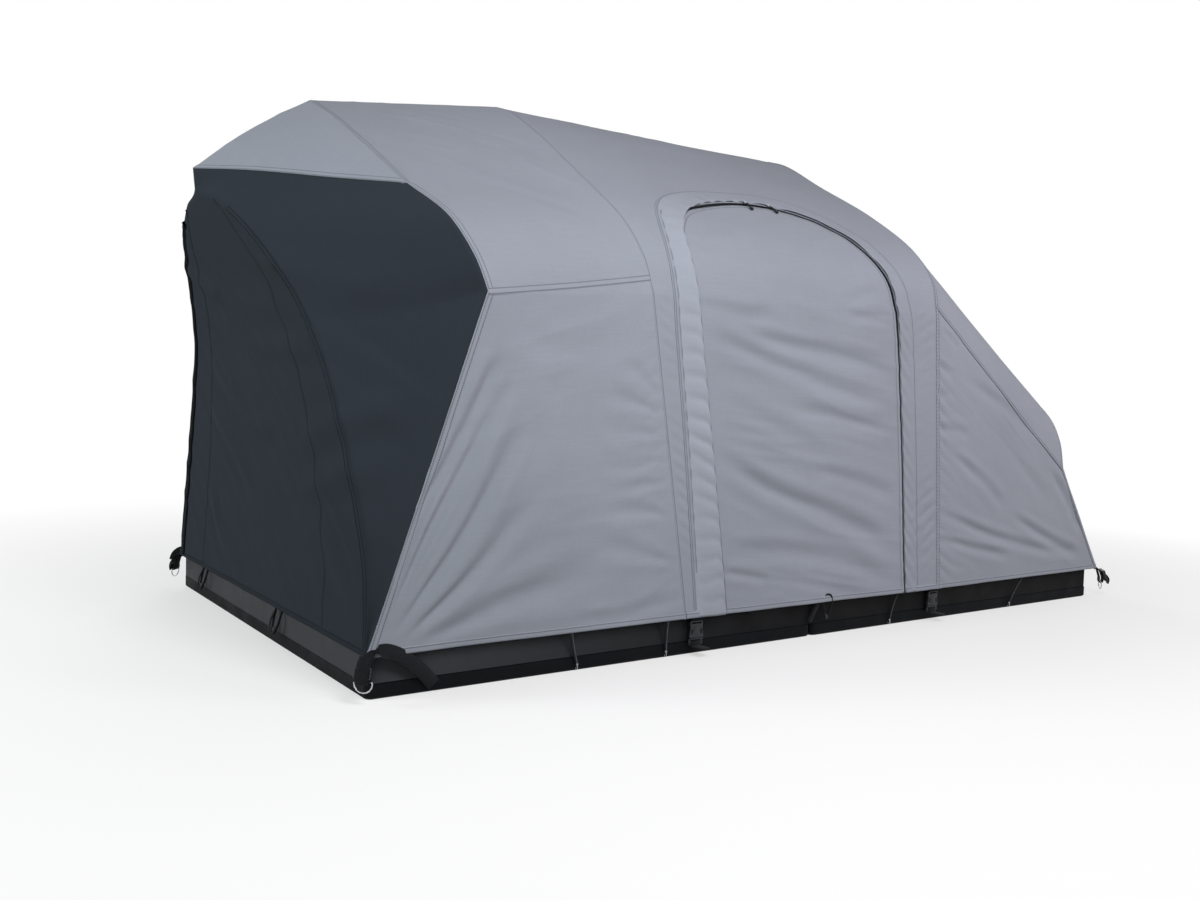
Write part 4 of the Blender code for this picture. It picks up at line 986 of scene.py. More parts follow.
t = np.linspace(0.0, 1.0, 110)
on_both_sides("seam_shoulder", REAR, 0.5 + t * (REAR.shape[0] - 2.0), ELBOW + t * 0.5 * K,
              0.0135, 0.0008, FLY_SEAM_WIDE)
on_both_sides("seam_front_shoulder", FRONT, 0.5 + t * (FRONT.shape[0] - 2.0), ELBOW + 0.35 * K * (1 - t),
              0.0100, 0.0012, FLY_PIPING)
legs = columns(0.0, ELBOW)
on_both_sides("seam_nose_leg", FRONT, rows_at(FRONT, 0.0050, 1, legs), legs, 0.0100, 0.0010, FLY_PIPING)
hoop_seam("seam_nose_hoop", FRONT, 0.0030, 1, columns(ELBOW, LAST - ELBOW), 0.0100, 0.0007, FLY_SEAM_1)


def in_side_view(line, grid):
    """Fractional rows and columns of near-side points given by their side view."""
    near = grid[:, :HALF]
    x, z = near[..., 0] + CENTRE_X, near[..., 2]
    dxi, dxj = np.gradient(x)
    dzi, dzj = np.gradient(z)
    rows, cols = [], []
    for px, pz in line:
        i, j = np.unravel_index(int(((x - px) ** 2 + (z - pz) ** 2).argmin()), x.shape)
        a, b, c, d = dxi[i, j], dxj[i, j], dzi[i, j], dzj[i, j]
        det = a * d - b * c
        ex, ez = px - x[i, j], pz - z[i, j]
        rows.append(i + (d * ex - b * ez) / det)
        cols.append(j + (-c * ex + a * ez) / det)
    return np.array(rows), np.array(cols)


def along_door(line, inset, step):
    """Rows and columns that follow an outline of the door at an inset, from hem to hem."""
    ahead = unit_rows(np.gradient(line, axis=0))
    fine = (line + np.column_stack([ahead[:, 1], -ahead[:, 0]]) * inset)[1:-1]
    fine = fine[fine[:, 1] > HEM_Z + 0.0005]
    fine = even_steps(fine, int(arc_lengths(fine)[-1] / 0.004))
    i, j = in_side_view(fine, DOORS)
    smooth = np.array([0.25, 0.5, 0.25])
    for _ in range(3):
        i[1:-1] = np.convolve(i, smooth, "valid")
        j[1:-1] = np.convolve(j, smooth, "valid")
    count = int(arc_lengths(fine)[-1] / step)
    where = np.linspace(0, len(i) - 1, count)
    return np.interp(where, np.arange(len(i)), i), np.interp(where, np.arange(len(j)), j)


# Cover band round each door: its free inner edge lies over the zip on the hinge side
left = 1 - ramp(door_x, 0.74, 0.86)
free_edge = EDGE + 0.0075 * left - 0.0008 * (1 - left)
band_part = ramp(-BAND_EDGE, 0.004, 0.020)
band_lift = -0.0008 + 0.0023 * ramp(-BAND_EDGE, 0.0, 0.007)
band_lift += (0.0062 * left + 0.0030 * OVERHEAD) * ramp(-BAND_EDGE, 0.006, 0.056)
band_lift += 0.0019 * pleats(door_z + door_x * 0.7, np.abs(EDGE), 0.038, 0.050, 77) * band_part
lifted = DOORS + DOOR_NORMALS * band_lift[..., None]
sunk = DOORS - DOOR_NORMALS * 0.0024
for side, sign, half in SIDES:
    band = Cloth()
    band.add(lifted[:, half], DOOR_UV[:, half], value=np.minimum(free_edge, -BAND_EDGE)[:, half])
    cover = band.build("door_band_" + side, FLY_BAND, 0.0011, "tent")
    under = Cloth()
    under.add(sunk[:, half], DOOR_UV[:, half], value=np.minimum(EDGE + 0.0100, 0.016 - EDGE)[:, half])
    under.build("zip_tape_frame_" + side, ZIP, 0.0006, "tent")

i, j = along_door(BAND_LINE, 0.0045, 0.006)
on_both_sides("seam_door_band", DOORS, i, j, 0.0080, 0.0006, FLY_SEAM_1, lift=0.0010)
i, j = along_door(BAND_LINE, 0.0115, 0.006)
leg = sample(DOORS, i, j)[0][:, 0] + CENTRE_X < 0.70
on_both_sides("seam_door_band_leg", DOORS, i[leg], j[leg], 0.0070, 0.0005, FLY_SEAM_1, lift=0.0014)
i, j = along_door(DOOR_LINE, FLAP_GAP + 0.0085, 0.006)
on_both_sides("seam_door_flap", DOORS, i, j, 0.0060, 0.0005, FLY_SEAM_1, body="door_SIDE", lift=-0.0002)

# Zip: its coil stands in the gap between the flap and the frame
i, j = along_door(DOOR_LINE, FLAP_GAP / 2, 0.0011)
coil = 0.0006 + 0.0005 * (np.arange(len(i)) % 2)
for side, columns_at in (("near", j), ("far", LAST - j)):
    p, n = sample(DOORS, i, columns_at)
    track = ribbon("zip_coil_" + side, p - n * 0.0006, n, 0.0042, coil, ZIP, slot="zip", sink=0.0016)
    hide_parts("zip_track_" + side)

# Hems: a rolled lower edge and its row of stitches
HEM_MIDDLE = 0.0062
HEM_WIDTH = 0.0125
HEM_BEVEL = 0.0030


def leg_columns(grid, rows, height):
    """Columns where a grid's near legs are that high above the hem."""
    z = grid[:, :ELBOW, 2]
    return np.array([np.interp(HEM_Z + height, z[int(r)], np.arange(ELBOW)) for r in rows])


def side_hem(name, grid, i, thickness=0.0005, **kw):
    on_both_sides(name, grid, i, leg_columns(grid, i, HEM_MIDDLE), HEM_WIDTH, thickness, FLY_HEM,
                  bevel=HEM_BEVEL, **kw)


def end_hem(name, grid, column, mat, turn=1, **kw):
    """A hem along the lowest rows of an end's grid; the column is where its rows are measured."""
    spacing = (grid[4, column, 2] - grid[0, column, 2]) / 4
    j = np.linspace(0.5, grid.shape[1] - 1.5, grid.shape[1] - 1)[::turn]
    p, n = sample(grid, np.full(len(j), HEM_MIDDLE / spacing), j)
    ribbon(name, p, n, HEM_WIDTH, 0.0005, mat, bevel=HEM_BEVEL, **kw)


for name, grid in (("hem_rear_bay", REAR), ("hem_front_bay", FRONT)):
    side_hem(name, grid, np.linspace(0, grid.shape[0] - 1.01, grid.shape[0]))
i = np.linspace(0, DOORS.shape[0] - 1.01, DOORS.shape[0] * 2)
door_at = np.array([EDGE[int(a), 2] for a in i])
side_hem("hem_door_flap", DOORS, i[door_at < -(FLAP_GAP + 0.0025)], body="door_SIDE")
frame_part = door_at > 0.001
side_hem("hem_door_frame_a", DOORS, i[frame_part & (i < DOORS.shape[0] / 2)], 0.0007, lift=0.0012)
side_hem("hem_door_frame_b", DOORS, i[frame_part & (i > DOORS.shape[0] / 2)], 0.0007, lift=0.0012)
end_hem("hem_nose", NOSE, 12 * K, FLY_HEM)
end_hem("hem_end_panel", ENDS, PANEL_STEPS, DARK_HEM, -1, slot="fly_dark")

# Seams of the end panel follow its arch, and a near-black stitched strip runs along the far outer edge only:
# painted shade where that side of the panel turns away from the light
i = np.linspace(1.2, ELBOW + 4.0 * K, 200)
for name, column, mat, width in (("a", PANEL_STEPS - 0.4, DARK_SEAM_2, 0.0110),
                                 ("b", PANEL_STEPS + 4.0 * K, DARK_SEAM_1, 0.0075)):
    on_both_sides("end_seam_" + name, ENDS, i, np.full(len(i), column), width, 0.0006, mat, slot="fly_dark")
far_arch = np.full(len(i), ENDS.shape[1] - 1 - PANEL_STEPS - 0.55 * K)
taper = 0.0002 + 0.0022 * (1 - ramp(i, i[-1] * 0.80, i[-1]))
ribbon("end_shade_strip", *sample(ENDS, i, far_arch), 0.0170, taper, PAINTED_SHADE_STRIP, slot="fly_dark")


# Fittings
def circle(radius, sides=8):
    a = np.arange(sides) * 2 * math.pi / sides
    return np.column_stack([radius * np.cos(a), radius * np.sin(a)])


def strap(width, thickness):
    """Cross-section of a flat strap with rounded edges."""
    w, t, e = width / 2, thickness / 2, 0.35 * thickness
    return np.array([(-w, 0), (-w + e, t), (0, t * 1.06), (w - e, t), (w, 0), (w - e, -t), (0, -t * 1.06),
                     (-w + e, -t)])


def swept(name, path, section, mat, body, across=None, closed=False, scale=1.0):
    """A cross-section carried along a path; across holds its first axis where it is flat."""
    pts = np.asarray(path, float)
    ahead = unit_rows(np.roll(pts, -1, 0) - np.roll(pts, 1, 0) if closed else np.gradient(pts, axis=0))
    if across is None:
        start = np.cross(ahead[0], (0.0, 0.0, 1.0))
        if np.linalg.norm(start) < 0.05:
            start = np.cross(ahead[0], (0.0, 1.0, 0.0))
        side = [start / np.linalg.norm(start)]
        for t in ahead[1:]:
            turned_on = side[-1] - t * side[-1].dot(t)
            side.append(turned_on / np.linalg.norm(turned_on))
        side = np.array(side)
    else:
        side = np.broadcast_to(np.asarray(across, float), pts.shape)
        side = unit_rows(side - ahead * (side * ahead).sum(1)[:, None])
    out = np.cross(side, ahead)
    size = (np.ones(len(pts)) * scale)[:, None, None]
    verts = pts[:, None] + (side[:, None] * section[None, :, :1] + out[:, None] * section[None, :, 1:]) * size
    uvs = np.empty(verts.shape[:2] + (2,))
    uvs[..., 0] = arc_lengths(pts)[:, None]
    uvs[..., 1] = section[None, :, 0]
    faces = ring_faces(len(pts), len(section), closed)
    obj = new_object(name, verts.reshape(-1, 3), faces, mat, uvs.reshape(-1, 2))
    surfaced(obj.data, 55)
    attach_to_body(obj, body)
    return obj


WEB = 0.025                    # width and thickness of the webbing
WEB_T = 0.0016


def webbing(name, points, count, body, across, width=WEB):
    """Webbing on a smooth line through points."""
    line = smooth_curve(points, count)
    return swept(name, line, strap(width, WEB_T), WEBBING, body, across=across)


def turned(name, origin, axis, profile, mat, body, sides=14):
    """A turned piece: (distance along the axis, radius) pairs."""
    axis = Vector(axis).normalized()
    path = [Vector(origin) + axis * d for d, r in profile]
    return swept(name, path, circle(1.0, sides), mat, body, scale=np.array([r for d, r in profile]))


def rounded(corners, radius, steps=4):
    """A polygon's outline with its corners rounded."""
    pts = np.array(corners, float)
    out = []
    for k in range(len(pts)):
        before, here, after = pts[k - 1], pts[k], pts[(k + 1) % len(pts)]
        r = min(radius, 0.45 * np.linalg.norm(before - here), 0.45 * np.linalg.norm(after - here))
        a = here + (before - here) / np.linalg.norm(before - here) * r
        b = here + (after - here) / np.linalg.norm(after - here) * r
        for s in np.linspace(0.0, 1.0, steps + 1):
            out.append(a * (1 - s) ** 2 + here * 2 * s * (1 - s) + b * s ** 2)
    return out


def rectangle(x0, x1, y0, y1, radius=0.0008):
    return rounded([(x0, y0), (x1, y0), (x1, y1), (x0, y1)], radius)


def both_halves(half, radius):
    """A rounded outline whose left half mirrors the right half's points."""
    return rounded(half + [(-a, b) for a, b in half[::-1]], radius)


def plate(name, outlines, thickness, bevel, origin, right, up, mat, body):
    """A flat moulding with rounded edges: the first outline is its rim, the others are holes."""
    data = bpy.data.curves.new(name + "_outline", "CURVE")
    data.dimensions = "2D"
    data.fill_mode = "BOTH"
    data.extrude = thickness / 2 - bevel
    data.bevel_depth = bevel
    data.bevel_resolution = 2
    data.offset = -bevel
    for outline in outlines:
        spline = data.splines.new("POLY")
        spline.points.add(len(outline) - 1)
        spline.points.foreach_set("co", [c for x, y in outline for c in (x, y, 0.0, 1.0)])
        spline.use_cyclic_u = True
    holder = add_object(name + "_outline", data)
    mesh = bpy.data.meshes.new_from_object(holder)
    bpy.data.objects.remove(holder)
    right, up = Vector(right).normalized(), Vector(up).normalized()
    turn = Matrix((right, up, right.cross(up))).transposed().to_4x4()
    mesh.transform(Matrix.Translation(Vector(origin)) @ turn)
    mesh.name = name
    surfaced(mesh, 40, weld=1e-5)
    mesh.materials.clear()
    mesh.materials.append(mat)
    obj = add_object(name, mesh)
    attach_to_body(obj, body)
    return obj


def body_of(node):
    return frame["nodes"][node]["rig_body"]


BUCKLE_X = (("rear", 0.705), ("front", 1.423))
BUCKLE_MID = 0.5830
BUCKLE_T = 0.0090
SOCKET_LOW, SOCKET_TOP = 0.0340, 0.0685
PLUG_LOW = 0.0195


def moulding(name, outlines, thickness, bevel, at, sign, body):
    """A plate of buckle plastic that stands upright along a long side."""
    return plate(name, outlines, thickness, bevel, at, (sign, 0, 0), (0, 0, 1), BUCKLE, body)


def socket_half(name, x, y, sign):
    """Waisted socket with a slot and two windows, its raised boss, and its webbing from the base."""
    node = "buckle_socket_" + name
    body = body_of(node)
    height = SOCKET_TOP - SOCKET_LOW
    rim = both_halves([(0.0172, 0.0), (0.0180, 0.004), (0.0158, 0.013), (0.0150, 0.020), (0.0162, 0.028),
                       (0.0160, height)], 0.0030)
    window = [(0.0105, 0.0075), (0.0132, 0.0080), (0.0118, 0.0180), (0.0098, 0.0160)]
    holes = [rectangle(-0.0125, 0.0125, height - 0.0058, height - 0.0030), rounded(window, 0.0010),
             rounded([(-a, b) for a, b in window[::-1]], 0.0010)]
    shell = moulding("socket_body_" + name, [rim] + holes, BUCKLE_T, 0.0014, (x, y, SOCKET_LOW), sign, body)
    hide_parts(node)
    boss = both_halves([(0.0062, 0.006), (0.0075, 0.014), (0.0062, 0.024)], 0.0030)
    face = (x, y - sign * BUCKLE_T / 2, SOCKET_LOW)
    moulding("socket_boss_" + name, [boss], 0.0016, 0.0006, face, sign, body)
    fold = [(-0.0010, 0.0815), (-0.0016, 0.0740), (-0.0022, 0.0690), (-0.0012, 0.0655), (0.0, 0.0638),
            (0.0016, 0.0655), (0.0018, 0.0695), (0.0012, 0.0740), (0.0012, 0.0790)]
    webbing("socket_webbing_" + name, [(x, y + sign * a, b) for a, b in fold], 30, body, (1, 0, 0))


def plug_half(name, x, y, sign):
    """The pronged half with its two ladder slots, its collar, and the strap's end that is led through it."""
    node = "buckle_plug_" + name
    body = body_of(node)
    half = [(0.0160, 0.0), (0.0178, 0.003), (0.0178, 0.0135)]
    arm = [(0.0116, 0.0142), (0.0130, 0.0200), (0.0134, 0.0250), (0.0118, 0.0288), (0.0104, 0.0270),
           (0.0096, 0.0200), (0.0070, 0.0150)]
    tongue = [(0.0028, 0.0150), (0.0024, 0.0280)]
    rim = both_halves(half + arm + tongue, 0.0010)
    bars = [rectangle(-0.0128, 0.0128, 0.0024, 0.0046), rectangle(-0.0128, 0.0128, 0.0072, 0.0098)]
    piece = moulding("plug_body_" + name, [rim] + bars, 0.0042, 0.0009, (x, y, PLUG_LOW), sign, body)
    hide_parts(node)
    collar = rectangle(-0.0178, 0.0178, 0.0105, 0.0138, 0.0012)
    moulding("plug_collar_" + name, [collar], BUCKLE_T - 0.0006, 0.0014, (x, y, PLUG_LOW), sign, body)
    fold = [(0.0012, 0.0318), (-0.0010, 0.0285), (0.0020, 0.0252), (0.0034, 0.0225), (0.0026, 0.0192),
            (0.0050, 0.0178), (0.0100, 0.0172), (0.0180, 0.0178), (0.0260, 0.0181), (0.0335, 0.0172)]
    webbing("plug_webbing_" + name, [(x, y - sign * a, b) for a, b in fold], 40, body, (1, 0, 0))


for side, sign, half in SIDES:
    for end, foot_x in BUCKLE_X:
        for part in (socket_half, plug_half):
            part(end + "_" + side, foot_x - CENTRE_X, -sign * BUCKLE_MID, sign)


def sling(name, out_y, body):
    """Webbing from the board's edge up round the rear corner of the fly and back to the ladder buckle."""
    route = [(0.130, 0.5795, 0.0130), (0.112, 0.5835, 0.0330), (0.082, 0.5905, 0.0600),
             (0.052, 0.5955, 0.0790), (0.030, 0.5985, 0.0865), (0.010, 0.6010, 0.0840),
             (-0.004, 0.6035, 0.0740), (-0.009, 0.6045, 0.0600)]
    count = 44
    lay = np.linspace(0.0, 1.0, count)[:, None]
    turn = np.array([0.80, 0.0, 0.60]) * (1 - lay) + np.array([0.95, -0.30 * out_y, 0.10]) * lay
    webbing("corner_sling_" + name, [(a - CENTRE_X, out_y * b, c) for a, b, c in route], count, body, turn)


def corner(name, foot_x, out_x, out_y, tall):
    """Folded webbing with a ladder buckle under a corner of the fly; tall scales what shows of them."""
    node = "corner_strap_" + name
    body = body_of(node)
    diag = np.array([out_x, out_y, 0.0]) / math.sqrt(2)
    side = np.array([-diag[1], diag[0], 0.0])
    origin = np.array([foot_x - CENTRE_X, out_y * HALF_WIDTH, 0.0])
    loop = [(-0.0010, 0.0790), (0.0030, 0.0660), (0.0066, 0.0530), (0.0070, 0.0425), (0.0110, 0.0380),
            (0.0150, 0.0425), (0.0154, 0.0520), (0.0128, 0.0600), (0.0090, 0.0690), (0.0050, 0.0745)]
    web = webbing("corner_webbing_" + name, [origin + diag * d + (0, 0, z) for d, z in loop], 48, body, side)
    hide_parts(node)
    outline = rectangle(-0.0150 * tall, 0.0150 * tall, 0.0, 0.0190 * tall, 0.0022)
    slots = [rectangle(-0.0128, 0.0128, low * tall, high * tall)
             for low, high in ((0.0022, 0.0048), (0.0078, 0.0104), (0.0134, 0.0164))]
    lean = np.array([0.0, 0.0, 1.0]) - diag * 0.35
    plate("ladder_buckle_" + name, [outline] + slots, 0.0032 * tall ** 2, 0.0008,
          origin + diag * (0.0182 + 0.008 * (tall - 1)) + (0, 0, 0.0462), side, lean, BUCKLE, body)
    if foot_x == 0.0:
        sling(name, out_y, body)
    tail = [(0.0130, 0.0640), (0.0165, 0.0600), (0.0200, 0.0520), (0.0205, 0.0440), (0.0190, 0.0370)]
    webbing("corner_tail_" + name, [origin + diag * d * tall + (0, 0, z) for d, z in tail], 20, body, side,
            WEB * 0.96)


for end, foot_x, out_x, tall in (("rear_", 0.0, -1, 1.0), ("nose_", FOOT_LENGTH, 1, 1.5)):
    for side, out_y in (("near", -1), ("far", 1)):
        corner(end + side, foot_x, out_x, out_y, tall)


def strand(name, node, top_x, low_x, sign, shift, mat):
    """One cord of a hem tie, from under the hem down to its hook."""
    s = np.linspace(-0.06, 1.0, 14)
    y = -sign * (0.5898 - 0.0105 * np.sin(math.pi * np.clip(s, 0, 1) / 2) ** 0.8)
    spread = shift * (1.15 - 0.75 * np.clip(s, 0, 1) ** 3)
    line = np.column_stack([top_x * (1 - s) + low_x * s - CENTRE_X + spread, y, 0.0745 - 0.0625 * s])
    return swept(name, line, circle(0.0014), mat, body_of(node))


# Hem ties: two strands side by side down to a small hook under the board's edge; the second strand is a grey
# copy of the black cord, a painted highlight between the two.
TIE_X = ((0.404, 0.425), (0.629, 0.635), (1.295, 1.284), (1.759, 1.727))
for side, sign, half in SIDES:
    for index, (top_x, low_x) in enumerate(TIE_X):
        node = "hem_tie_%s_%d" % (side, index + 1)
        cord = strand(node + "_strand_a", node, top_x, low_x, sign, -0.0019, CORD)
        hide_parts(node)
        strand(node + "_strand_b", node, top_x, low_x, sign, 0.0019, PAINTED_HIGHLIGHT_CORD)
        foot = np.array([low_x - CENTRE_X, -sign * 0.5793, 0.0118])
        hook = [(0.0, 0.0010), (0.0004, -0.0022), (0.0018, -0.0058), (0.0, -0.0088), (-0.0028, -0.0092),
                (-0.0048, -0.0070)]
        line = smooth_curve([foot + (0.0, -sign * b, c) for b, c in hook], 16)
        swept(node + "_hook", line, circle(0.0010), GLINT, body_of(node))
        turned(node + "_ferrule", foot + (0, 0, 0.0034), (0, 0, -1),
               [(0.0, 0.0012), (0.0008, 0.0024), (0.0040, 0.0024), (0.0048, 0.0012)], GLINT, body_of(node))

# Door tabs: a strap under the hem and a cord loop with its toggle
for side, sign, half in SIDES:
    node = "door_tab_" + side
    body = body_of(node)
    s = np.linspace(-0.08, 1.0, 12)[:, None]
    top = np.array([1.045 - CENTRE_X, -sign * 0.5858, 0.0740])
    line = top + s * np.array([-0.0200, sign * 0.0040, -0.0400])
    tab = swept("tab_strap_" + side, line, strap(0.0110, 0.0026), WEBBING, body, across=(1, 0, 0))
    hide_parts(node)
    loop = [(1.051, 0.5905, 0.0850), (1.060, 0.5925, 0.0915), (1.074, 0.5930, 0.0900),
            (1.080, 0.5920, 0.0760), (1.076, 0.5905, 0.0560), (1.069, 0.5895, 0.0400),
            (1.064, 0.5890, 0.0400), (1.060, 0.5895, 0.0560), (1.054, 0.5900, 0.0720)]
    line = smooth_curve([(a - CENTRE_X, -sign * b, c) for a, b, c in loop + loop[:1]], 60)[:-1]
    swept("tab_cord_" + side, line, circle(0.0026), CORD, body, closed=True)
    turned("tab_toggle_" + side, (1.0665 - CENTRE_X, -sign * 0.5893, 0.0480), (0, 0, -1),
           [(0.0, 0.0016), (0.0010, 0.0032), (0.0080, 0.0036), (0.0100, 0.0030), (0.0110, 0.0014)],
           BUCKLE, body)
    turned("tab_eyelet_" + side, (1.0545 - CENTRE_X, -sign * 0.5890, 0.0795), (0, -sign, 0),
           [(0.0, 0.0030), (0.0008, 0.0036), (0.0016, 0.0030)], GLINT, body)

# Rear hem loops with a tail and a cord lock
for index, y in (("1", -0.155), ("2", 0.360)):
    node = "rear_loop_" + index
    body = body_of(node)
    a = np.linspace(-0.10, math.pi + 0.10, 26)
    line = np.column_stack([0.0015 - 0.0115 * np.sin(a) - CENTRE_X, y + 0.017 * np.cos(a),
                            0.0735 - 0.044 * np.sin(a)])
    loop = swept("hem_cord_" + index, line, circle(0.0025), CORD, body)
    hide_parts(node)
    tail = [(-0.0035, 0.0125, 0.0700), (-0.0080, 0.0190, 0.0540), (-0.0095, 0.0225, 0.0400),
            (-0.0098, 0.0235, 0.0310)]
    lean = smooth_curve([(a - CENTRE_X, y + b, c) for a, b, c in tail], 12)
    swept("hem_tail_" + index, lean, strap(0.0075, 0.0016), WEBBING, body, across=(0, 1, 0.3),
          scale=np.array([1.0] * 8 + [0.96, 0.85, 0.62, 0.35]))
    turned("hem_lock_" + index, (-0.0085 - CENTRE_X, y - 0.0080, 0.0435), (0, 0.35, -1),
           [(0.0, 0.0022), (0.0012, 0.0040), (0.0070, 0.0044), (0.0085, 0.0040), (0.0100, 0.0026)],
           BUCKLE, body)


def slider(name, sign, swing):
    """Zip slider: a body over the coil, a hinged bail and a cord pull with its grip."""
    node = "zip_slider_" + name
    body = body_of(node)
    low, high = (np.array(p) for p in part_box(node))
    near = DOORS[:, :HALF]
    gap = np.abs(near[..., 0] - (low[0] + high[0]) / 2) + np.abs(near[..., 2] - (high[2] - 0.0055))
    i, j = np.unravel_index(int(gap.argmin()), gap.shape)
    hit = DOORS[i, j] * (1, sign, 1)
    out = DOOR_NORMALS[i, j] * (1, sign, 1)
    down = np.array([0, 0, -1.0]) + out * out[2]
    down /= np.linalg.norm(down)
    right = np.cross(down, out)
    half = [(0.0042, -0.0055), (0.0046, 0.0010), (0.0028, 0.0058)]
    case = plate("slider_body_" + name, [both_halves(half, 0.0016)], 0.0030, 0.0008, hit + out * 0.0028,
                 right, -down, GLINT, body)
    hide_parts(node)
    bail = [(0.0, 0.0040), (0.0012, 0.0052), (0.0034, 0.0056), (0.0056, 0.0048)]
    line = smooth_curve([hit + down * d + out * h for d, h in bail], 10)
    swept("slider_bail_" + name, line, circle(0.0008), GLINT, body)
    pull = [(0.0050, 0.0), (0.0120, 0.0020), (0.0220, 0.0026), (0.0300, 0.0016), (0.0335, 0.0),
            (0.0300, -0.0016), (0.0220, -0.0026), (0.0120, -0.0020)]
    line = [hit + down * d + right * (a + swing * (d / 0.03) ** 2) + out * (0.0046 - 0.030 * (d - 0.005))
            for d, a in pull]
    line = smooth_curve(line + line[:1], 44)[:-1]
    swept("slider_pull_" + name, line, circle(0.0011), CORD, body, closed=True)
    turned("slider_grip_" + name, hit + down * 0.0245 + right * swing * 0.75 + out * 0.0042, down,
           [(0.0, 0.0020), (0.0012, 0.0032), (0.0085, 0.0034), (0.0105, 0.0026), (0.0112, 0.0012)],
           HUB, body)


for side, sign, half in SIDES:
    slider(side + "_a", sign, 0.0030)
    slider(side + "_b", sign, -0.0020)


def bake_modifiers(obj):
    """Puts the modifiers' result into the mesh."""
    deps = bpy.context.evaluated_depsgraph_get()
    mesh = bpy.data.meshes.new_from_object(obj.evaluated_get(deps))
    obj.modifiers.clear()
    obj.data = mesh


def swell(pad):
    """Fills the pad's cover by a short cloth simulation with pressure."""
    cloth = pad.modifiers.new("swell", "CLOTH")
    cloth.settings.use_pressure = True
    cloth.settings.uniform_pressure_force = 4.0
    cloth.settings.effector_weights.gravity = 0.0
    cloth.settings.tension_stiffness = 30.0
    cloth.settings.bending_stiffness = 1.5
    last = 20
    cloth.point_cache.frame_start = 1
    cloth.point_cache.frame_end = last
    for step in range(1, last + 1):
        bpy.context.scene.frame_set(step)
    bake_modifiers(pad)
    bpy.context.scene.frame_set(1)


def vertex_places(obj):
    return np.array([v.co for v in obj.data.vertices])


# Mattress: a foam pad in a cloth cover
PAD_SHRINK = 0.004
PAD_HEADROOM = 0.010
PAD_MOVE = 0.012               # the most that the simulation may move a point


def mattress():
    low, high = (Vector(p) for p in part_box("mattress"))
    size = (high - low) - Vector((2 * PAD_SHRINK, 2 * PAD_SHRINK, PAD_HEADROOM))
    middle = (low + high) / 2
    mesh = bpy.data.meshes.new("mattress_pad")
    with edited(mesh) as bm:
        bmesh.ops.create_cube(bm, size=1.0)
        bmesh.ops.scale(bm, vec=size, verts=bm.verts)
        bmesh.ops.bevel(bm, geom=list(bm.edges), offset=0.014, segments=3, affect="EDGES", profile=0.6)
        bmesh.ops.translate(bm, vec=middle, verts=bm.verts)
    pad = add_object("mattress_pad", mesh)
    bpy.context.view_layer.objects.active = pad
    remesh = pad.modifiers.new("remesh", "REMESH")
    remesh.mode = "VOXEL"
    remesh.voxel_size = 0.016
    bake_modifiers(pad)
    start = vertex_places(pad)
    swell(pad)
    move = vertex_places(pad) - start
    far = np.linalg.norm(move, axis=1)[:, None]
    here = start + move * np.minimum(1.0, PAD_MOVE / np.maximum(far, 1e-9))
    u = (here[:, 0] - middle.x) / (size.x / 2)
    v = (here[:, 1] - middle.y) / (size.y / 2)
    top = ramp(here[:, 2], middle.z - 0.005, middle.z + 0.015)
    crown = 0.010 * (1 - np.abs(u) ** 6) * (1 - np.abs(v) ** 4) - 0.012 * np.exp(-(u * 20) ** 2)
    crown += 0.0012 * lattice_noise(here[:, 0] / 0.09 + 9, here[:, 1] / 0.09 + 9, 83, 2)
    here[:, 2] += top * crown - 0.006 * top
    here = np.clip(here, np.array(low) + 0.0008, np.array(high) - 0.0008)
    for vertex, co in zip(pad.data.vertices, here):
        vertex.co = co
    soft = pad.modifiers.new("soft", "SUBSURF")
    soft.levels = soft.render_levels = 1
    bake_modifiers(pad)
    pad.data.materials.clear()
    pad.data.materials.append(FOAM)
    pad.data.shade_smooth()
    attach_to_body(pad, "tent")
    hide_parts("mattress")
    x0, x1 = low.x + PAD_SHRINK, high.x - PAD_SHRINK
    y0, y1 = low.y + PAD_SHRINK, high.y - PAD_SHRINK
    for label, z in (("upper", high.z - 0.020), ("lower", low.z + 0.008)):
        rim = rounded([(x0, y0), (x1, y0), (x1, y1), (x0, y1)], 0.03, 8)
        rim = even_steps(np.array([(a, b, z) for a, b in rim + rim[:1]]), 400)[:-1]
        snapped = []
        for p in rim:
            on_pad, normal = pad.closest_point_on_mesh(Vector(p))[1:3]
            spot = np.array(on_pad) + np.array(normal) * 0.0004
            snapped.append(np.clip(spot, np.array(low), np.array(high)))
        swept("mattress_piping_" + label, snapped, circle(0.0024), FOAM_PIPING, "tent", closed=True)


mattress()

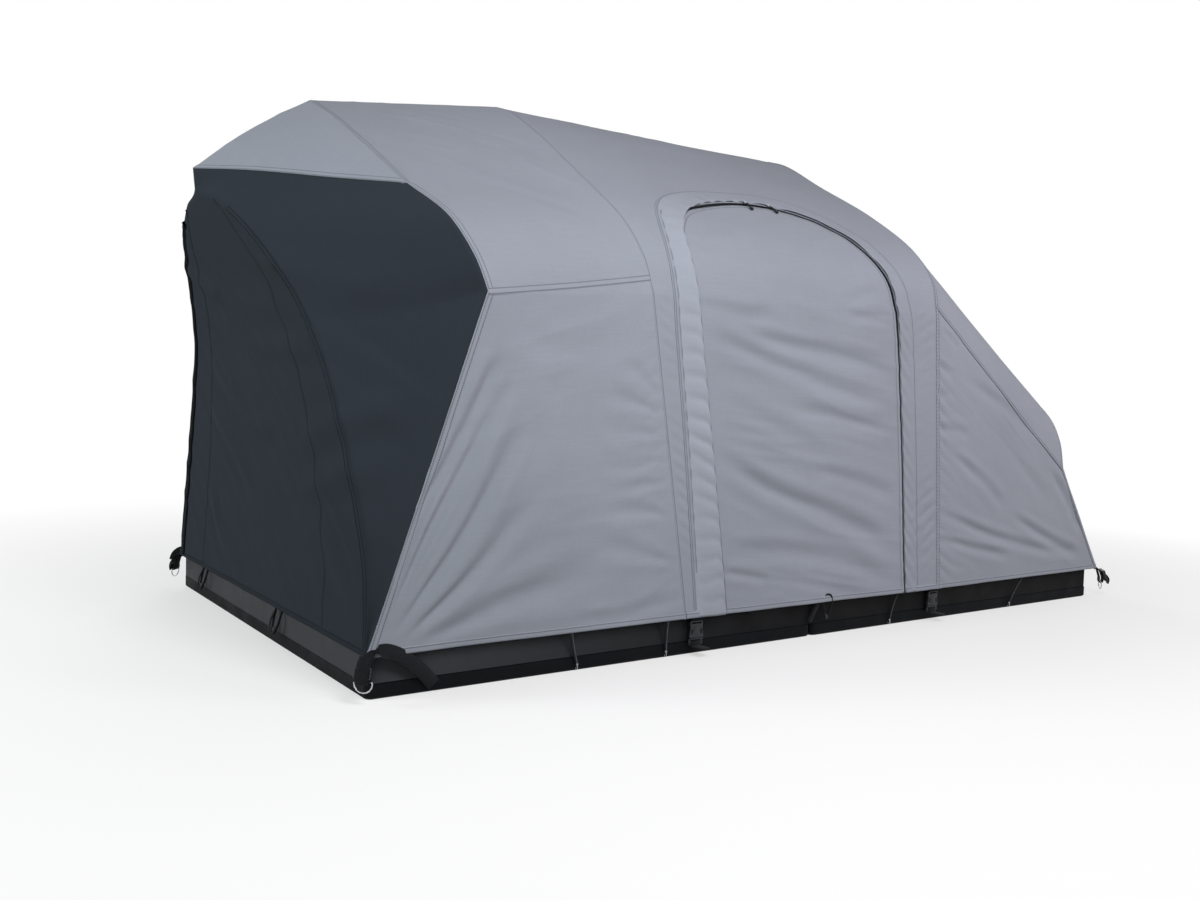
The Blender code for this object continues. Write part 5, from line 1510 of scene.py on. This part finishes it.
# Lights: name, place, what it points at, size, power, colour
AMBIENT = 0.06
FLOOR_BOUNCE = 0.18            # how pale the floor is to the light that it throws back
LIGHTS = (
    ("key", (-0.7, -2.0, 1.9), (-0.4, -0.4, 0.5), 1.0, 34.0, (0.985, 0.965, 1.0)),
    ("warm", (1.6, -2.6, 1.3), (0.5, -0.4, 0.4), 1.2, 38.0, (1.0, 0.95, 0.945)),
    ("left", (-3.6, 0.7, 1.5), (-1.0, 0.0, 0.5), 1.4, 62.0, (0.98, 1.0, 0.99)),
    ("low", (-2.7, -2.6, 1.1), (-0.3, 0.0, 0.5), 1.2, 18.0, (0.84, 1.0, 0.91)),
    ("back", (0.8, 3.8, 1.5), (0.0, 0.0, 0.4), 2.2, 80.0, (1.0, 1.0, 1.0)),
)
for name, place_at, look_at, size, power, colour in LIGHTS:
    data = bpy.data.lights.new(name, "AREA")
    data.shape = "DISK"
    data.size = size
    data.energy = power
    data.color = colour
    lamp = add_object(name, data)
    lamp.location = place_at
    lamp.rotation_euler = (Vector(look_at) - Vector(place_at)).to_track_quat("-Z", "Y").to_euler()
    lamp.visible_camera = False
    lamp.visible_glossy = False

# The camera that was fitted to the photograph
YAW, PITCH, ROLL = math.radians(34.52), math.radians(3.66), math.radians(-1.66)
CAMERA_AT = (-0.730 - CENTRE_X, -2.314, 0.548)
FOCAL, PICTURE_WIDTH = 1131.0, 1200.0   # in the photograph's pixels


def camera():
    ahead = Vector((math.sin(YAW) * math.cos(PITCH), math.cos(YAW) * math.cos(PITCH), -math.sin(PITCH)))
    right = Vector((math.cos(YAW), -math.sin(YAW), 0.0))
    down = ahead.cross(right)
    r = right * math.cos(ROLL) + down * math.sin(ROLL)
    d = down * math.cos(ROLL) - right * math.sin(ROLL)
    data = bpy.data.cameras.new("camera")
    data.sensor_width = 36.0
    data.lens = FOCAL / PICTURE_WIDTH * data.sensor_width
    data.clip_start = 0.05
    obj = add_object("camera", data)
    obj.matrix_world = Matrix.Translation(Vector(CAMERA_AT)) @ Matrix((r, -d, -ahead)).transposed().to_4x4()
    bpy.context.scene.camera = obj


camera()


def seen_and_lit(m, seen, lit, rays, part=1.0):
    """One shader for rays that look, such as the camera's, and another for those that light the object."""
    paths = m.node("ShaderNodeLightPath", {}).outputs
    total = paths[rays[0]]
    for ray in rays[1:]:
        total = m.math("MAXIMUM", total, paths[ray])
    return m.node("ShaderNodeMixShader", {0: m.times(total, part), 1: lit, 2: seen}).outputs[0]


LOOKING = ("Is Camera Ray", "Is Glossy Ray")
WHITE = (1.0, 1.0, 1.0)

world = bpy.data.worlds.new("studio")
bpy.context.scene.world = world
world.use_nodes = True
sky = Nodes(world.node_tree)
background = sky.tree.nodes["Background"]
sky.feed(background.inputs["Color"], (0.93, 0.96, 1.0))
sky.feed(background.inputs["Strength"], AMBIENT)
shown = sky.node("ShaderNodeBackground", {"Color": WHITE})
surface = seen_and_lit(sky, shown.outputs[0], background.outputs[0], LOOKING)
sky.feed(sky.tree.nodes["World Output"].inputs["Surface"], surface)

# The floor is white to the camera, all the more so away from the tent, and dim to the light on the tent
FLOOR_HALF = 30.0
FLOOR_Z = -0.0005
floor_mesh = bpy.data.meshes.new("floor")
with edited(floor_mesh) as bm:
    bmesh.ops.create_grid(bm, x_segments=2, y_segments=2, size=FLOOR_HALF)
floor = add_object("floor", floor_mesh)
floor.location.z = FLOOR_Z
pale = Material("floor_pale", (0.86, 0.86, 0.86), 0.9)
dim = pale.node("ShaderNodeBsdfDiffuse", {"Color": (FLOOR_BOUNCE,) * 3})
base = seen_and_lit(pale, pale.tree.nodes["Principled BSDF"].outputs[0], dim.outputs[0], LOOKING)
white = pale.node("ShaderNodeEmission", {})
where = pale.node("ShaderNodeNewGeometry", {}).outputs["Position"]
reach = pale.node("ShaderNodeVectorMath", {0: where}, operation="LENGTH").outputs["Value"]
whiteness = pale.mapped(reach, 1.0, 2.6, 0.5, 1.0)
surface = seen_and_lit(pale, white.outputs[0], base, LOOKING[:1], whiteness)
pale.feed(pale.tree.nodes["Material Output"].inputs["Surface"], surface)
floor_mesh.materials.append(pale.mat)

bpy.context.scene.view_settings.view_transform = "Standard"
